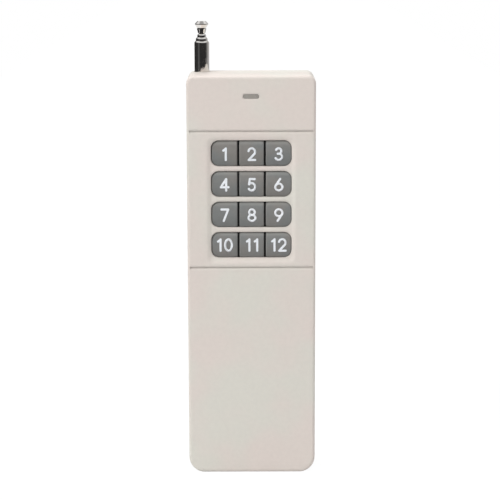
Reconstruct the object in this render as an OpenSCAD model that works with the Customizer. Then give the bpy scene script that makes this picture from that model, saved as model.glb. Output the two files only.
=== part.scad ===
// Hand-held wireless transmitter with twelve keys and a telescopic antenna.
// It stands upright: X to the right, Y to the back, Z up, origin in the middle of its foot.
// Shells, keys and board are drawn lying on the back, face up, and upright() stands them up:
// x across, y up the casing from its foot, z forward from the back face.

/* [Casing] */
// Width of the casing
case_w = 42.5; // [41:0.5:56]
// Depth of the casing, from its back to its front face
case_d = 24; // [23.5:0.5:30]
// Depth of the front shell, from the parting line to the face
front_d = 11; // [9:0.5:12]
// Thickness of the casing's walls
wall = 2; // [1.6:0.1:2.4]
// Radius of the casing's top corners, seen from the front
head_corner_r = 2.6; // [2:0.1:5]
// Radius of the casing's foot corners, seen from the front
foot_corner_r = 5.4; // [3.5:0.1:6]
// Rounding of the rear shell's edge
back_edge_r = 2.4; // [1:0.1:3]
// Rounding of the front shell's side edges
side_edge_r = 0.8; // [0.4:0.1:1.4]
// Rounding of the front shell's top edge
brow_r = 1; // [0.6:0.1:3]
// Rounding of the front shell's foot edge
sole_r = 1; // [0.5:0.1:1.5]
// Thickness of the lip inside the parting line
lip_t = 0.9; // [0.6:0.1:1.1]
// Height of the lip inside the parting line
lip_h = 1.2; // [0.8:0.1:2]

/* [Front face] */
// Height of the plain head panel, above the upper groove
head_panel_h = 18.3; // [16:0.1:24]
// Height of the plain foot panel, below the lower groove
foot_panel_h = 70.7; // [70:0.1:74]
// Height of the key panel, between the grooves
key_panel_h = 45.5; // [44:0.1:52]
// Width of each groove across the face
groove_w = 0.9; // [0.5:0.1:1.4]
// How far each groove stays short of the sides
groove_inset = 0.9; // [0.8:0.1:3]
// Width of the shallow recess round the keys
recess_w = 29.2; // [28.6:0.1:34]
// Distance from the recess to the grooves
recess_margin = 1.7; // [1:0.1:2.4]
// Depth of the recess
recess_d = 0.5; // [0.2:0.1:0.9]
// Corner radius of the recess
recess_r = 2.4; // [1.8:0.1:4]
// Width of the recess's sloping edge
recess_slope_w = 1.3; // [0.8:0.1:1.6]
// How far the recess sits below the middle of the keys
recess_drop = 0.4; // [0:0.05:0.5]
// Height of the indicator above the upper groove
indicator_rise = 11.5; // [9:0.1:14]
// Width of the indicator slot
indicator_w = 5.2; // [4:0.1:8]
// Height of the indicator slot
indicator_h = 1.4; // [1:0.1:2.4]

/* [Keys] */
// Height of the bar between two rows of keys
row_bar = 1.56; // [1.4:0.01:2.4]
// Distance from the end rows to the edge of the recess
row_margin = 1.44; // [1.3:0.01:2]
// Width of a middle key
key_w = 8.11; // [7.4:0.01:8.2]
// Width of a key at the end of a row
end_key_w = 8.46; // [8:0.01:8.8]
// Gap between two keys of a row
key_gap = 0.65; // [0.6:0.01:1.2]
// Radius of the outer corners of a row
row_r = 2.6; // [1:0.1:3.6]
// Radius of a key's inner corners
key_r = 0.6; // [0.5:0.1:1]
// Rounding of a key's top edge
key_edge_r = 0.5; // [0.1:0.05:0.55]
// How far the middle of a key's crowned top lies below the face
key_sink = 0.8; // [0.3:0.05:1]
// Radius of the crown on a key's top
crown_r = 42; // [30:1:80]
// How far the keys hang down and to the right in their windows
key_play = 0.1; // [0:0.01:0.12]
// How far the keys sit above the middle between the grooves
key_lift = 0.2; // [0:0.05:0.4]
// How far a key travels when it is pressed
key_travel = 0.4; // [0.2:0.05:0.5]
// Wall of a key, which is hollow behind
key_wall = 1.1; // [0.8:0.1:1.6]
// Thickness of the collar that keeps a key in its window
key_collar_t = 0.95; // [0.6:0.05:1.2]
// How far the collar reaches past the key
key_collar = 0.45; // [0.3:0.05:0.5]
// Radius of the stem under a key
stem_r = 1.9; // [1.2:0.1:2.2]
// Thickness of the black frame between the keys
frame_t = 0.8; // [0.6:0.1:1]
// Height of the frame above the board
frame_rise = 4.6; // [4.5:0.1:4.8]
// Thickness of the frame's fins between two keys
fin_t = 0.4; // [0.3:0.05:0.5]
// How far the fins' tops stay below the face
fin_drop = 1.7; // [1.2:0.1:2.4]

/* [Board] */
// Distance from the face to the front of the circuit board
board_setback = 10.4; // [10.2:0.1:10.8]
// Thickness of the circuit board
board_t = 1.6; // [0.8:0.1:1.8]
// How far the board reaches below the lower groove
board_reach = 5.2; // [4.4:0.1:5.6]
// Gap between the board and the casing's walls
board_gap = 0.8; // [0.5:0.1:1.5]
// Radius of the board's corners
board_r = 2; // [1:0.1:3]
// Radius of the posts that carry the board
post_r = 1.7; // [1.5:0.1:2]
// Radius of the shoulders on the posts that carry the key frame
shoulder_r = 2.4; // [2.2:0.1:2.6]
// Distance of the posts from the sides of the casing
post_inset = 4.8; // [4.7:0.1:5.4]
// How far the posts lie beyond the grooves
post_gap = 2.15; // [1.9:0.05:2.6]

/* [Switches] */
// Side of a push switch
switch_w = 6; // [5:0.1:6.5]
// Height of a switch body
switch_h = 3.1; // [2.6:0.1:3.2]
// Thickness of the sheet cover on a switch
cover_t = 0.3; // [0.2:0.05:0.4]
// Radius of a switch plunger
plunger_r = 1.7; // [1.4:0.1:1.8]
// How far a plunger stands out of its cover
plunger_rise = 0.95; // [0.7:0.05:1.1]
// Radius of the well inside a switch
well_r = 2.5; // [2.3:0.1:2.7]
// Floor under the well
well_floor = 1; // [0.6:0.1:1.2]
// Thickness of the snap dome
dome_t = 0.12; // [0.08:0.01:0.2]
// Height of the snap dome
dome_h = 0.65; // [0.4:0.05:0.7]

/* [Antenna] */
// Radius of the outer tube
antenna_r = 2.5; // [2.3:0.1:2.8]
// How much thinner each next section is, in radius
antenna_step = 0.5; // [0.45:0.01:0.55]
// Wall of each tube
antenna_wall = 0.25; // [0.2:0.01:0.3]
// Distance of the antenna from the side of the casing
antenna_inset = 4.8; // [4.6:0.1:6]
// How far the outer tube stands out of the casing
antenna_stand = 10.4; // [4:0.1:20]
// How far each inner section shows when pushed in
rim_step = 1.2; // [0.9:0.05:2]
// Height of the rolled rim on a tube
rim_h = 1.1; // [1:0.1:1.4]
// Height of the tube's inner end above the battery bay
antenna_foot_gap = 10; // [8:0.1:14]
// Length of the sliding collar at the inner end of a section
collar_h = 3; // [2:0.1:5]
// Radius of the knob
knob_r = 2.25; // [1.8:0.05:3]
// Height of the knob
knob_h = 4; // [3.5:0.1:6]

/* [Battery] */
// Width of the block battery
battery_w = 26.4; // [25.5:0.1:26.5]
// Room in the bay above the battery's can, for its terminals and the snap connector
battery_room = 12.4; // [11:0.1:13]
// Radius of the can's edges
battery_r = 2.2; // [1:0.1:3]
// Distance from the middle of the battery to each terminal
terminal_x = 6.35; // [6.2:0.05:6.5]
// Height of a terminal
terminal_h = 2.6; // [2:0.1:3]
// Radius of the stud terminal
stud_r = 2.85; // [2.6:0.05:2.9]
// Outer radius of the socket terminal
socket_r = 4.2; // [3.9:0.1:4.4]
// Thickness of the snap connector
snap_t = 3.2; // [2:0.1:4]
// Radius of a lead
lead_r = 0.6; // [0.4:0.05:0.8]
// Distance of each lead from the middle
lead_x = 2; // [1.5:0.1:3]

/* [Battery bay and door] */
// Thickness of the bay's walls
bay_wall = 1.3; // [1:0.1:1.5]
// Height of the bay's floor above the foot
bay_foot = 3.4; // [3.2:0.1:4]
// How far the inside of the bay stays below the lower groove
bay_drop = 8.7; // [8:0.1:10]
// How far the door reaches past the bay on each side
door_side_lap = 0.7; // [0.4:0.1:1]
// Thickness of the door
door_t = 1.6; // [1.2:0.1:1.8]
// How far the door reaches past the inside of the bay
door_lap = 0.6; // [0.4:0.1:0.9]
// Height of the door's pivot above the foot
pivot_h = 4.9; // [4.8:0.1:5.2]
// Radius of the bead along the door's lower edge
bead_r = 1.2; // [1:0.05:1.25]
// Radius of the pivot pins
pivot_r = 0.7; // [0.5:0.05:0.8]
// Length of each pivot pin
pivot_len = 1.1; // [0.8:0.1:1.3]
// Depth of the frame that the door sits in
seat_d = 3.2; // [2.8:0.1:4]
// Thickness of the foam pad inside the door
pad_t = 0.9; // [0.5:0.1:1]

/* [Screws] */
// Radius of a case screw's shank
screw_r = 0.95; // [0.8:0.05:1]
// How far a case screw reaches into the front shell
screw_bite = 5; // [3:0.1:7]
// Radius of a case screw's head
head_r = 1.7; // [1.5:0.05:1.75]
// Height of a case screw's head
head_h = 1.4; // [1:0.1:1.6]
// Radius of a board screw's shank
board_screw_r = 0.78; // [0.6:0.02:0.8]
// Length of a board screw's shank
board_screw_len = 6.4; // [5:0.1:7]
// Height of the foot screws
foot_screw_h = 9; // [8.5:0.1:14]
// Distance of the head screws from the top of the casing
head_screw_drop = 8; // [7:0.1:9]
// Distance of one head screw from the antenna
head_screw_shift = 7.7; // [7:0.1:9]
// Distance of the other head screw from the side of the casing
head_screw_inset = 5.5; // [5:0.1:7]

/* [Hidden] */
$fn = 48;

// Clearances: fixed fit, loose gap, radial running fit, seat, and the overrun of every cut
fit = 0.1;
loose = 0.15;
running = 0.05;
seat_gap = 0.3;
cut = 1;
// How far parts of one moulding run into each other
fuse = 0.1;

rear_d = case_d - front_d;
inner_x = case_w / 2 - wall;
face_back_z = case_d - wall;

// Heights
upper_groove_y = foot_panel_h + key_panel_h;
case_h = upper_groove_y + head_panel_h;
bay_top = foot_panel_h - bay_drop;
bay_h = bay_top - bay_foot;
door_h = bay_top + door_lap - pivot_h;
battery_h = bay_h - battery_room;
board_foot = foot_panel_h - board_reach;
antenna_foot_h = bay_top + bay_wall + antenna_foot_gap;

// Keypad
keys_y = (upper_groove_y + foot_panel_h) / 2 + key_lift;
indicator_y = upper_groove_y + indicator_rise;
gap_x = (key_w + key_gap) / 2;
end_key_x = gap_x + key_gap / 2 + end_key_w / 2;
row_w = 2 * (gap_x + key_gap / 2 + end_key_w);
window_w = row_w + 2 * loose;
rows = 4;
columns = 3;
recess_h = key_panel_h - 2 * recess_margin;
row_pitch = (recess_h + row_bar - 2 * row_margin) / rows;
window_h = row_pitch - row_bar;
key_h = window_h - 2 * loose;
row_ys = [for (i = [0:rows - 1]) keys_y + ((rows - 1) / 2 - i) * row_pitch];
column_xs = [-end_key_x, 0, end_key_x];

// Depth stack, forward from the back face
board_front_z = case_d - board_setback;
board_back_z = board_front_z - board_t;
cover_z = board_front_z + switch_h;
plunger_top_z = cover_z + cover_t + plunger_rise;
frame_z = board_front_z + frame_rise;
key_foot_z = frame_z + frame_t + key_travel + 2 * fit;
key_top_z = case_d - key_sink;
collar_top_z = face_back_z - loose;

// Board
board_w = 2 * (inner_x - board_gap);
board_top = case_h - wall - board_gap - fit;
board_h = board_top - board_foot;
post_x = case_w / 2 - post_inset;
post_reach = key_panel_h / 2 + post_gap;
post_places = [for (x = [-post_x, post_x], y = [keys_y - post_reach, keys_y + post_reach]) [x, y]];
board_pilot_r = board_screw_r + running / 2;
board_head_r = post_r;
board_head_h = 1.2;

// Battery bay
bay_x = battery_w / 2 + seat_gap;
bay_out_x = bay_x + bay_wall;
battery_z = bead_r * 2 + seat_gap;
bay_out_z = face_back_z - seat_gap;
bay_floor_z = bay_out_z - bay_wall;
battery_d = bay_floor_z - seat_gap - battery_z;
door_w = 2 * (bay_x + door_side_lap);
battery_foot = bay_foot + 2 * fit;
can_top = battery_foot + battery_h;
door_gap = loose;
snap_d = 12.8;
snap_edge_r = 0.5;
door_top = pivot_h + door_h;
seat_margin = 2.4;
battery_y = case_d / 2 - battery_z - battery_d / 2;
seam_h = 0.7;
seam_t = 0.5;

// Screws
pilot_r = screw_r - running;
shank_hole_r = screw_r + 2 * fit;
head_hole_r = head_r + fit;
head_seat_z = wall - 2 * fit;
head_sink = head_seat_z - head_h;
screw_len = rear_d + screw_bite - head_seat_z;
// Cross in a screw's head: its width, length and depth as shares of the head
cross_shares = [0.25, 1.1, 0.5];
rear_boss_r = 2.15;
front_boss_r = 1.9;
foot_screw_x = bay_out_x + rear_boss_r - fuse;
head_screw_y = case_h - head_screw_drop;
antenna_x = antenna_inset - case_w / 2;
foot_screws = [[-foot_screw_x, foot_screw_h], [foot_screw_x, foot_screw_h]];
head_screws = [[antenna_x + head_screw_shift, head_screw_y],
    [case_w / 2 - head_screw_inset, head_screw_y]];

// Antenna
antenna_depth = (wall + board_back_z) / 2;
antenna_y = case_d / 2 - antenna_depth;
antenna_top = case_h + antenna_stand;
plug_h = 2.5;
sections = 4;
function section_r(i) = antenna_r - i * antenna_step;
function section_top(i) = antenna_top + i * rim_step;
function section_foot(i) = antenna_foot_h + plug_h - fit * 2 + i * rim_step;

// Parting line, ribs, saddles, cable slot and thumbnail dip of the casing
parting_w = 0.25;
parting_d = 0.2;
rib_t = 1;
rib_top_z = board_back_z - seat_gap;
saddle_reach = 4;
head_saddle_drop = 12;
foot_saddle_rise = 10;
saddle_ys = [case_h - head_saddle_drop, antenna_foot_h + foot_saddle_rise];
lead_bend_r = 1.8;
lead_end = 0.2;
lead_z = board_back_z - lead_bend_r - lead_end;
lead_slot_w = 2 * (lead_x + lead_r + seat_gap);
lead_slot_h = 2 * (lead_r + seat_gap);
nail_r = 8;
nail_depth = 1.1;
nail_w = 10;

// Door: tongue, hook, stiffening ribs and grip grooves
tongue_w = 8;
tongue_t = 1.1;
tongue_h = 3.4;
hook_r = 0.9;
tongue_y = bay_top - tongue_t / 2 - hook_r - loose;
rib_x = 11.6;
pad_rise = 8;
pad_foot = pivot_h + pad_rise;
pad_h = 36;
pad_w = 20;
stiffener_h = 0.6;
grips = 5;
grip_w = 12;
grip_r = 0.5;
grip_sink = 0.1;
grip_gap = 1.8;
grip_drop = 4;
grip_y = door_top - grip_drop - (grips - 1) * grip_gap;

// Lamp and light guide
lamp_r = 1.5;
lamp_h = 4.6;
lamp_stand = 0.6;
lamp_rim_h = 0.9;
lamp_leg_x = 0.9;
lamp_top_z = board_front_z + lamp_stand + lamp_h;
lens_flange = 2;
lens_flange_t = 1;

// Plungers
plunger_flange_t = 0.6;

// Parts behind the board; each place is a share of the board's half width and of its height
leg_r = 0.25;
// Room behind the board, and the heights of the transistor and the capacitor as shares of it
part_room = board_back_z - wall;
height_shares = [0.46, 0.66];
pin_gap = 2.54;
pin_w = 1;
notch_r = 0.75;
chip_w = 6.4;
chip_len = 22.8;
chip_t = 3.3;
chip_stand = 0.5;
chip_pins = 18;
chip_share = [0.08, 0.4];
resonator_r = 4.6;
resonator_h = 3.2;
resonator_rim_h = 0.5;
resonator_share = [0.3, 0.84];
transistor_r = 2.4;
transistor_stand = 1.6;
transistor_h = part_room * height_shares[0];
transistor_share = [-0.2, 0.74];
coil_r = 1.8;
coil_len = 8;
coil_share = [-0.44, 0.62];
supply_r = 2.6;
supply_h = part_room * height_shares[1];
supply_share = [0.6, 0.15];
resistor_r = 0.95;
resistor_len = 4.2;
resistor_span = 6.3;
waist_share = 0.9;
resistor_gap = 3.6;
resistor_count = 7;
resistor_share = [0.68, 0.3];
ceramic_r = 2.2;
ceramic_t = 1.4;
ceramic_shares = [[-0.44, 0.42], [-0.44, 0.3], [0.66, 0.72]];

// Leads
lead_y = case_d / 2 - lead_z;
lead_rise = 3.5;
lead_bend_h = board_foot + lead_rise;
board_back_y = case_d / 2 - board_back_z;

// Antenna details
roll_r = 0.9;
// Knob's profile: its radii, and its heights as shares of the knob's height
knob_cup_r = 1.62;
knob_groove_r = 1.35;
knob_top_r = 1.4;
knob_shares = [0.36, 0.39, 0.44, 0.71, 0.77];
antenna_screw_r = 1.2;
antenna_head_r = 2.1;
antenna_head_h = 1.5;
bracket_w = 4.6;
bracket_t = 0.8;

// Stands up what is drawn lying on its back
module upright() {
    translate([0, case_d / 2, 0]) rotate([90, 0, 0]) children();
}

// Corner radii run: right top, left top, left bottom, right bottom
function even(r) = [r, r, r, r];

// A rectangle with a radius for each corner
module round_rect(w, h, r) {
    half = [w / 2, h / 2, w / 2, h / 2];
    reach = max(r);
    square([w - 2 * reach, h], center = true);
    square([w, h - 2 * reach], center = true);
    for (i = [0:3]) rotate(90 * i) translate([half[i] - r[i], half[(i + 1) % 4] - r[i]]) {
        circle(r[i]);
        if (reach > r[i]) translate([r[i] - reach, r[i] - reach]) {
            square([reach - r[i], reach]);
            square([reach, reach - r[i]]);
        }
    }
}

// Section of a block's rim: square, with its outer top edge rounded
module rim_profile(reach, depth, edge) {
    intersection() {
        square([reach, depth]);
        union() {
            square([reach - edge, depth]);
            square([reach, depth - edge]);
            translate([reach - edge, depth - edge]) circle(edge);
        }
    }
}

// A block standing on z = 0 with rounded corners and its top edge rounded all round
module soft_block(w, h, depth, r, edge) {
    reach = max(r);
    half = [w / 2, h / 2, w / 2, h / 2];
    side = [h, w, h, w];
    for (i = [0:3]) rotate(90 * i) {
        run = side[i] - r[i] - r[(i + 3) % 4];
        translate([half[i] - r[i], side[i] / 2 - r[i], 0])
            rotate_extrude(angle = 90) rim_profile(r[i], depth, edge);
        translate([half[i] - reach, side[i] / 2 - r[i], 0])
            rotate([90, 0, 0]) linear_extrude(run) rim_profile(reach, depth, edge);
    }
    translate([reach - w / 2, reach - h / 2, 0]) cube([w - 2 * reach, h - 2 * reach, depth]);
}

// The same block with its rounded edge at the back
module back_block(w, h, depth, r, edge) {
    translate([0, 0, depth]) mirror([0, 0, 1]) soft_block(w, h, depth, r, edge);
}

// A flat plate from z = 0
module plate(w, h, t, r) {
    linear_extrude(t) round_rect(w, h, even(r));
}

// Corner radii of the casing's outline, and of its hollow, both drawn in or let out
corners = [head_corner_r, head_corner_r, foot_corner_r, foot_corner_r];
function outer_corners(inset) = [for (r = corners) r - inset];
function inner_corners(outset) = [for (r = corners) max(r - wall, side_edge_r + fit) + outset];

// Places what it holds at the middle of the casing's outline
module at_middle() {
    translate([0, case_h / 2, 0]) children();
}

// Side view of the front shell, with its rounded brow and foot
module brow_outline() {
    translate([sole_r, 0]) square([case_h - sole_r - brow_r, front_d]);
    square([case_h, front_d - brow_r]);
    translate([case_h - brow_r, front_d - brow_r]) circle(brow_r);
    translate([sole_r, front_d - sole_r]) circle(sole_r);
    square([brow_r, front_d - sole_r]);
}

// Corner radii of the window or key at a place in its row
function row_corners(column, r) = [column == columns - 1 ? r : key_r, column == 0 ? r : key_r,
    column == 0 ? r : key_r, column == columns - 1 ? r : key_r];

// A V-shaped groove across the face
module face_groove() {
    leg = groove_w / sqrt(2);
    translate([groove_inset - case_w / 2, 0, case_d]) rotate([0, 90, 0])
        linear_extrude(case_w - 2 * groove_inset) rotate(45) square([leg, leg], center = true);
}

// Section of the recess: its floor, and its edge sloping up past the face
module recess_profile(reach) {
    rise = recess_d * cut / recess_slope_w;
    polygon([[0, 0], [reach - recess_slope_w, 0], [reach + cut, recess_d + rise],
        [0, recess_d + rise]]);
}

// The shallow recess round the keys, with an even slope all round it
module key_recess() {
    reach = [recess_w / 2, recess_h / 2];
    translate([0, keys_y - recess_drop, case_d - recess_d]) {
        for (i = [0:3]) rotate(90 * i) {
            translate([reach[i % 2] - recess_r, reach[(i + 1) % 2] - recess_r, 0])
                rotate_extrude(angle = 90) recess_profile(recess_r);
            translate([reach[i % 2] - recess_r, reach[(i + 1) % 2] - recess_r, 0])
                rotate([90, 0, 0]) linear_extrude(2 * (reach[(i + 1) % 2] - recess_r))
                    recess_profile(recess_r);
        }
        translate([recess_r - reach[0], recess_r - reach[1], 0])
            cube([2 * (reach[0] - recess_r), 2 * (reach[1] - recess_r), recess_d + cut]);
    }
}

// The fine step round the front shell at the parting line
module parting_step() {
    translate([0, case_h / 2, rear_d - cut]) difference() {
        plate(case_w + 2 * cut, case_h + 2 * cut, parting_w + cut, cut);
        translate([0, 0, -cut]) linear_extrude(4 * cut)
            round_rect(case_w - 2 * parting_d, case_h - 2 * parting_d, outer_corners(parting_d));
    }
}

// A post under the face for the board, with a shoulder for the key frame
module board_post() {
    translate([0, 0, frame_z + frame_t])
        cylinder(r = shoulder_r, h = face_back_z - frame_z - frame_t + fuse);
    translate([0, 0, board_front_z]) cylinder(r = post_r, h = frame_z + frame_t - board_front_z);
}

// A boss under the face for a case screw, with a rib to the wall on one side
module front_boss(rib_run, rib_turn) {
    translate([0, 0, rear_d + running])
        cylinder(r = front_boss_r, h = face_back_z - rear_d + fuse - running);
    rotate(rib_turn) translate([0, -rib_t / 2, rear_d + lip_h + fit])
        cube([rib_run, rib_t, face_back_z - rear_d - lip_h]);
}

module front_shell() color([0.86, 0.84, 0.79]) upright() difference() {
    union() {
        difference() {
            translate([0, 0, rear_d]) intersection() {
                at_middle() soft_block(case_w, case_h, front_d, outer_corners(0), side_edge_r);
                translate([-case_w / 2, 0, 0]) rotate([90, 0, 90])
                    linear_extrude(case_w) brow_outline();
            }
            parting_step();
            translate([0, case_h / 2, rear_d - cut])
                soft_block(case_w - 2 * wall, case_h - 2 * wall, front_d - wall + cut,
                    inner_corners(0), side_edge_r);
            translate([0, case_h / 2, rear_d - cut]) linear_extrude(lip_h + fit + cut)
                round_rect(case_w - 2 * wall + 2 * lip_t + 2 * fit,
                    case_h - 2 * wall + 2 * lip_t + 2 * fit, inner_corners(lip_t + fit));
        }
        for (p = post_places) translate(p) board_post();
        for (p = foot_screws) translate(p)
            front_boss(inner_x + fuse - abs(p[0]), p[0] > 0 ? 0 : 180);
        for (p = head_screws) translate(p)
            front_boss(case_h - wall + fuse - p[1], 90);
    }
    translate([0, upper_groove_y, 0]) face_groove();
    translate([0, foot_panel_h, 0]) face_groove();
    key_recess();
    for (y = row_ys) translate([0, y, face_back_z - cut]) plate(window_w, window_h, wall + cut, row_r);
    translate([0, indicator_y, face_back_z - cut])
        plate(indicator_w, indicator_h, wall + 2 * cut, indicator_h / 2 - fit);
    for (p = post_places) translate([p[0], p[1], board_front_z - cut])
        cylinder(r = board_pilot_r, h = board_screw_len - board_t + 2 * cut);
    for (p = concat(foot_screws, head_screws)) translate([p[0], p[1], rear_d - cut])
        cylinder(r = screw_r, h = head_seat_z + screw_len - rear_d + 2 * cut);
}

// A boss behind the board for a case screw, with a rib to the wall on one side
module rear_boss(rib_run, rib_turn) {
    translate([0, 0, wall - fuse]) cylinder(r = rear_boss_r, h = rear_d - wall + fuse);
    rotate(rib_turn) translate([0, -rib_t / 2, wall - fuse])
        cube([rib_run, rib_t, rib_top_z - wall + fuse]);
}

// The bay's walls and floor round the battery, before the bay is hollowed
module bay_box() {
    translate([-bay_out_x, wall + 2 * fit, wall - fuse])
        cube([2 * bay_out_x, bay_top + bay_wall - wall - 2 * fit, bay_out_z - wall + fuse]);
    translate([-bay_out_x, wall - fuse, wall - fuse])
        cube([2 * bay_out_x, bay_foot - wall + fuse, rear_d - wall + fuse]);
    translate([-door_w / 2 - seat_margin, wall - fuse, wall - fuse])
        cube([door_w + 2 * seat_margin, door_top + seat_margin - wall, seat_d - wall + fuse]);
}

// Everything that the door and the battery need out of the rear shell
module bay_cuts() {
    door_hole_w = door_w + 2 * door_gap;
    translate([-bay_x, bay_foot, -cut]) cube([2 * bay_x, bay_h, bay_floor_z + cut]);
    translate([-door_hole_w / 2, pivot_h, -cut])
        cube([door_hole_w, door_h + door_gap, door_t + fit + cut]);
    translate([-door_hole_w / 2, pivot_h, bead_r]) rotate([0, 90, 0])
        cylinder(r = bead_r + door_gap, h = door_hole_w);
    translate([-door_hole_w / 2, pivot_h - bead_r - door_gap, -cut])
        cube([door_hole_w, bead_r + door_gap + fuse, bead_r + cut]);
    translate([-door_w / 2 - pivot_len - door_gap, pivot_h, bead_r]) rotate([0, 90, 0])
        cylinder(r = pivot_r + running, h = door_w + 2 * (pivot_len + door_gap));
    translate([-lead_slot_w / 2, bay_top - cut, lead_z - lead_slot_h / 2])
        cube([lead_slot_w, bay_wall + 2 * cut, lead_slot_h]);
    translate([-nail_w / 2, door_top + nail_depth, nail_depth - nail_r]) rotate([0, 90, 0])
        cylinder(r = nail_r, h = nail_w);
}

// A rib across the rear shell that carries the antenna
module antenna_saddle() {
    translate([-inner_x - fuse, -rib_t / 2, wall - fuse])
        cube([antenna_inset - wall + saddle_reach + fuse, rib_t, antenna_depth - wall - fuse]);
}

module rear_shell() color([0.85, 0.83, 0.78]) difference() {
    upright() difference() {
        union() {
            difference() {
                at_middle() back_block(case_w, case_h, rear_d, outer_corners(0), back_edge_r);
                translate([0, case_h / 2, wall])
                    back_block(case_w - 2 * wall, case_h - 2 * wall, rear_d, inner_corners(0),
                        side_edge_r);
            }
            difference() {
                translate([0, case_h / 2, rear_d - cut]) linear_extrude(lip_h + cut)
                    round_rect(case_w - 2 * wall + 2 * lip_t, case_h - 2 * wall + 2 * lip_t,
                        inner_corners(lip_t));
                translate([0, case_h / 2, rear_d - 2 * cut]) linear_extrude(lip_h + 3 * cut)
                    round_rect(case_w - 2 * wall, case_h - 2 * wall, inner_corners(0));
            }
            for (p = foot_screws) translate(p)
                rear_boss(inner_x + fuse - abs(p[0]), p[0] > 0 ? 0 : 180);
            for (p = head_screws) translate(p) rear_boss(case_h - wall + fuse - p[1], 90);
            for (y = saddle_ys) translate([0, y, 0]) antenna_saddle();
            bay_box();
        }
        bay_cuts();
        for (p = concat(foot_screws, head_screws)) translate(p) {
            translate([0, 0, -cut]) cylinder(r = shank_hole_r, h = rear_d + 2 * cut);
            translate([0, 0, -cut]) cylinder(r = head_hole_r, h = head_seat_z + cut);
        }
    }
    translate([antenna_x, antenna_y, antenna_foot_h])
        cylinder(r = antenna_r + fit, h = case_h - antenna_foot_h + cut);
}

// The door turns on two pins at its lower edge; its tongue snaps behind the bay's top wall
module battery_door() color([0.85, 0.83, 0.78]) upright() difference() {
    union() {
        translate([-door_w / 2, pivot_h, 0]) cube([door_w, door_h, door_t]);
        translate([-door_w / 2, pivot_h, bead_r]) rotate([0, 90, 0]) cylinder(r = bead_r, h = door_w);
        translate([-door_w / 2 - pivot_len, pivot_h, bead_r]) rotate([0, 90, 0])
            cylinder(r = pivot_r, h = door_w + 2 * pivot_len);
        translate([-tongue_w / 2, tongue_y, door_t - fuse])
            cube([tongue_w, tongue_t, tongue_h + fuse]);
        translate([-tongue_w / 2, tongue_y + tongue_t / 2, door_t + tongue_h - hook_r])
            rotate([0, 90, 0]) cylinder(r = hook_r, h = tongue_w);
        for (x = [-rib_x, rib_x]) translate([x - rib_t / 2, pad_foot, door_t - fuse])
            cube([rib_t, pad_h, stiffener_h + fuse]);
    }
    for (i = [0:grips - 1]) translate([-grip_w / 2, grip_y + i * grip_gap, -grip_sink])
        rotate([0, 90, 0]) cylinder(r = grip_r, h = grip_w);
}

module door_pad() color([0.2, 0.2, 0.21]) upright()
    translate([0, pad_foot + pad_h / 2, door_t]) plate(pad_w, pad_h, pad_t, hook_r);

// A disc with a rounded lower edge
module back_disc(r, h, edge) {
    rotate_extrude() translate([0, h]) mirror([0, 1]) rim_profile(r, h, edge);
}

// A pan head screw along z, head down at z = 0, with a cross in its head
module pan_screw(head_r, head_h, shank_r, shank_len) {
    slot_t = head_r * cross_shares[0];
    slot_w = head_r * cross_shares[1];
    difference() {
        back_disc(head_r, head_h, head_h / 3);
        for (a = [0, 90]) rotate(a) translate([-slot_w / 2, -slot_t / 2, -cut])
            cube([slot_w, slot_t, head_h * cross_shares[2] + cut]);
    }
    translate([0, 0, head_h]) cylinder(r = shank_r, h = shank_len - shank_r);
    translate([0, 0, head_h + shank_len - shank_r])
        cylinder(r1 = shank_r, r2 = shank_r / 4, h = shank_r);
}

module case_screws() color([0.55, 0.55, 0.57]) upright()
    for (p = concat(foot_screws, head_screws)) translate([p[0], p[1], head_sink])
        pan_screw(head_r, head_h, pilot_r, screw_len);

module board_screws() color([0.55, 0.55, 0.57]) upright()
    for (p = post_places) translate([p[0], p[1], board_back_z - board_head_h])
        pan_screw(board_head_r, board_head_h, board_screw_r, board_screw_len);

// Black frame behind the keys: a plate with a hole for each stem and a fin in each gap
module key_frame() color([0.08, 0.08, 0.09]) upright() difference() {
    union() {
        translate([0, keys_y, frame_z])
            plate(2 * (post_x + post_r), 2 * (post_reach + post_r), frame_t, board_r);
        for (y = row_ys, x = [-gap_x, gap_x])
            translate([x + key_play - fin_t / 2, y - key_h / 2, frame_z + frame_t - fuse])
                cube([fin_t, key_h, case_d - fin_drop - frame_z - frame_t + fuse]);
    }
    for (p = post_places) translate([p[0], p[1], frame_z - cut])
        cylinder(r = post_r + running, h = frame_t + 2 * cut);
    for (y = row_ys, x = column_xs) translate([x, y, frame_z - cut])
        cylinder(r = stem_r + seat_gap, h = frame_t + 2 * cut);
}

// Light guide with a flange behind the face
module indicator_lens() color([0.78, 0.82, 0.76]) upright() translate([0, indicator_y, 0]) {
    translate([0, 0, face_back_z - fuse])
        plate(indicator_w - fit, indicator_h - fit, wall - running, indicator_h / 2 - 2 * fit);
    translate([0, 0, face_back_z - lens_flange_t])
        plate(indicator_w + lens_flange, indicator_h + lens_flange, lens_flange_t, indicator_h / 2);
    translate([0, 0, lamp_top_z + fit])
        cylinder(r = indicator_h, h = face_back_z - lens_flange_t - lamp_top_z);
}

// Lamp on its two legs, under the light guide
module indicator_lamp() color([0.75, 0.15, 0.12]) upright() translate([0, indicator_y, 0]) {
    for (x = [-lamp_leg_x, lamp_leg_x]) translate([x, 0, board_front_z])
        cylinder(r = leg_r, h = lamp_stand + fuse);
    translate([0, 0, board_front_z + lamp_stand]) cylinder(r = lamp_r + fit, h = lamp_rim_h);
    translate([0, 0, board_front_z + lamp_stand]) cylinder(r = lamp_r, h = lamp_h - lamp_r);
    translate([0, 0, board_front_z + lamp_stand + lamp_h - lamp_r]) sphere(lamp_r);
}

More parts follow.
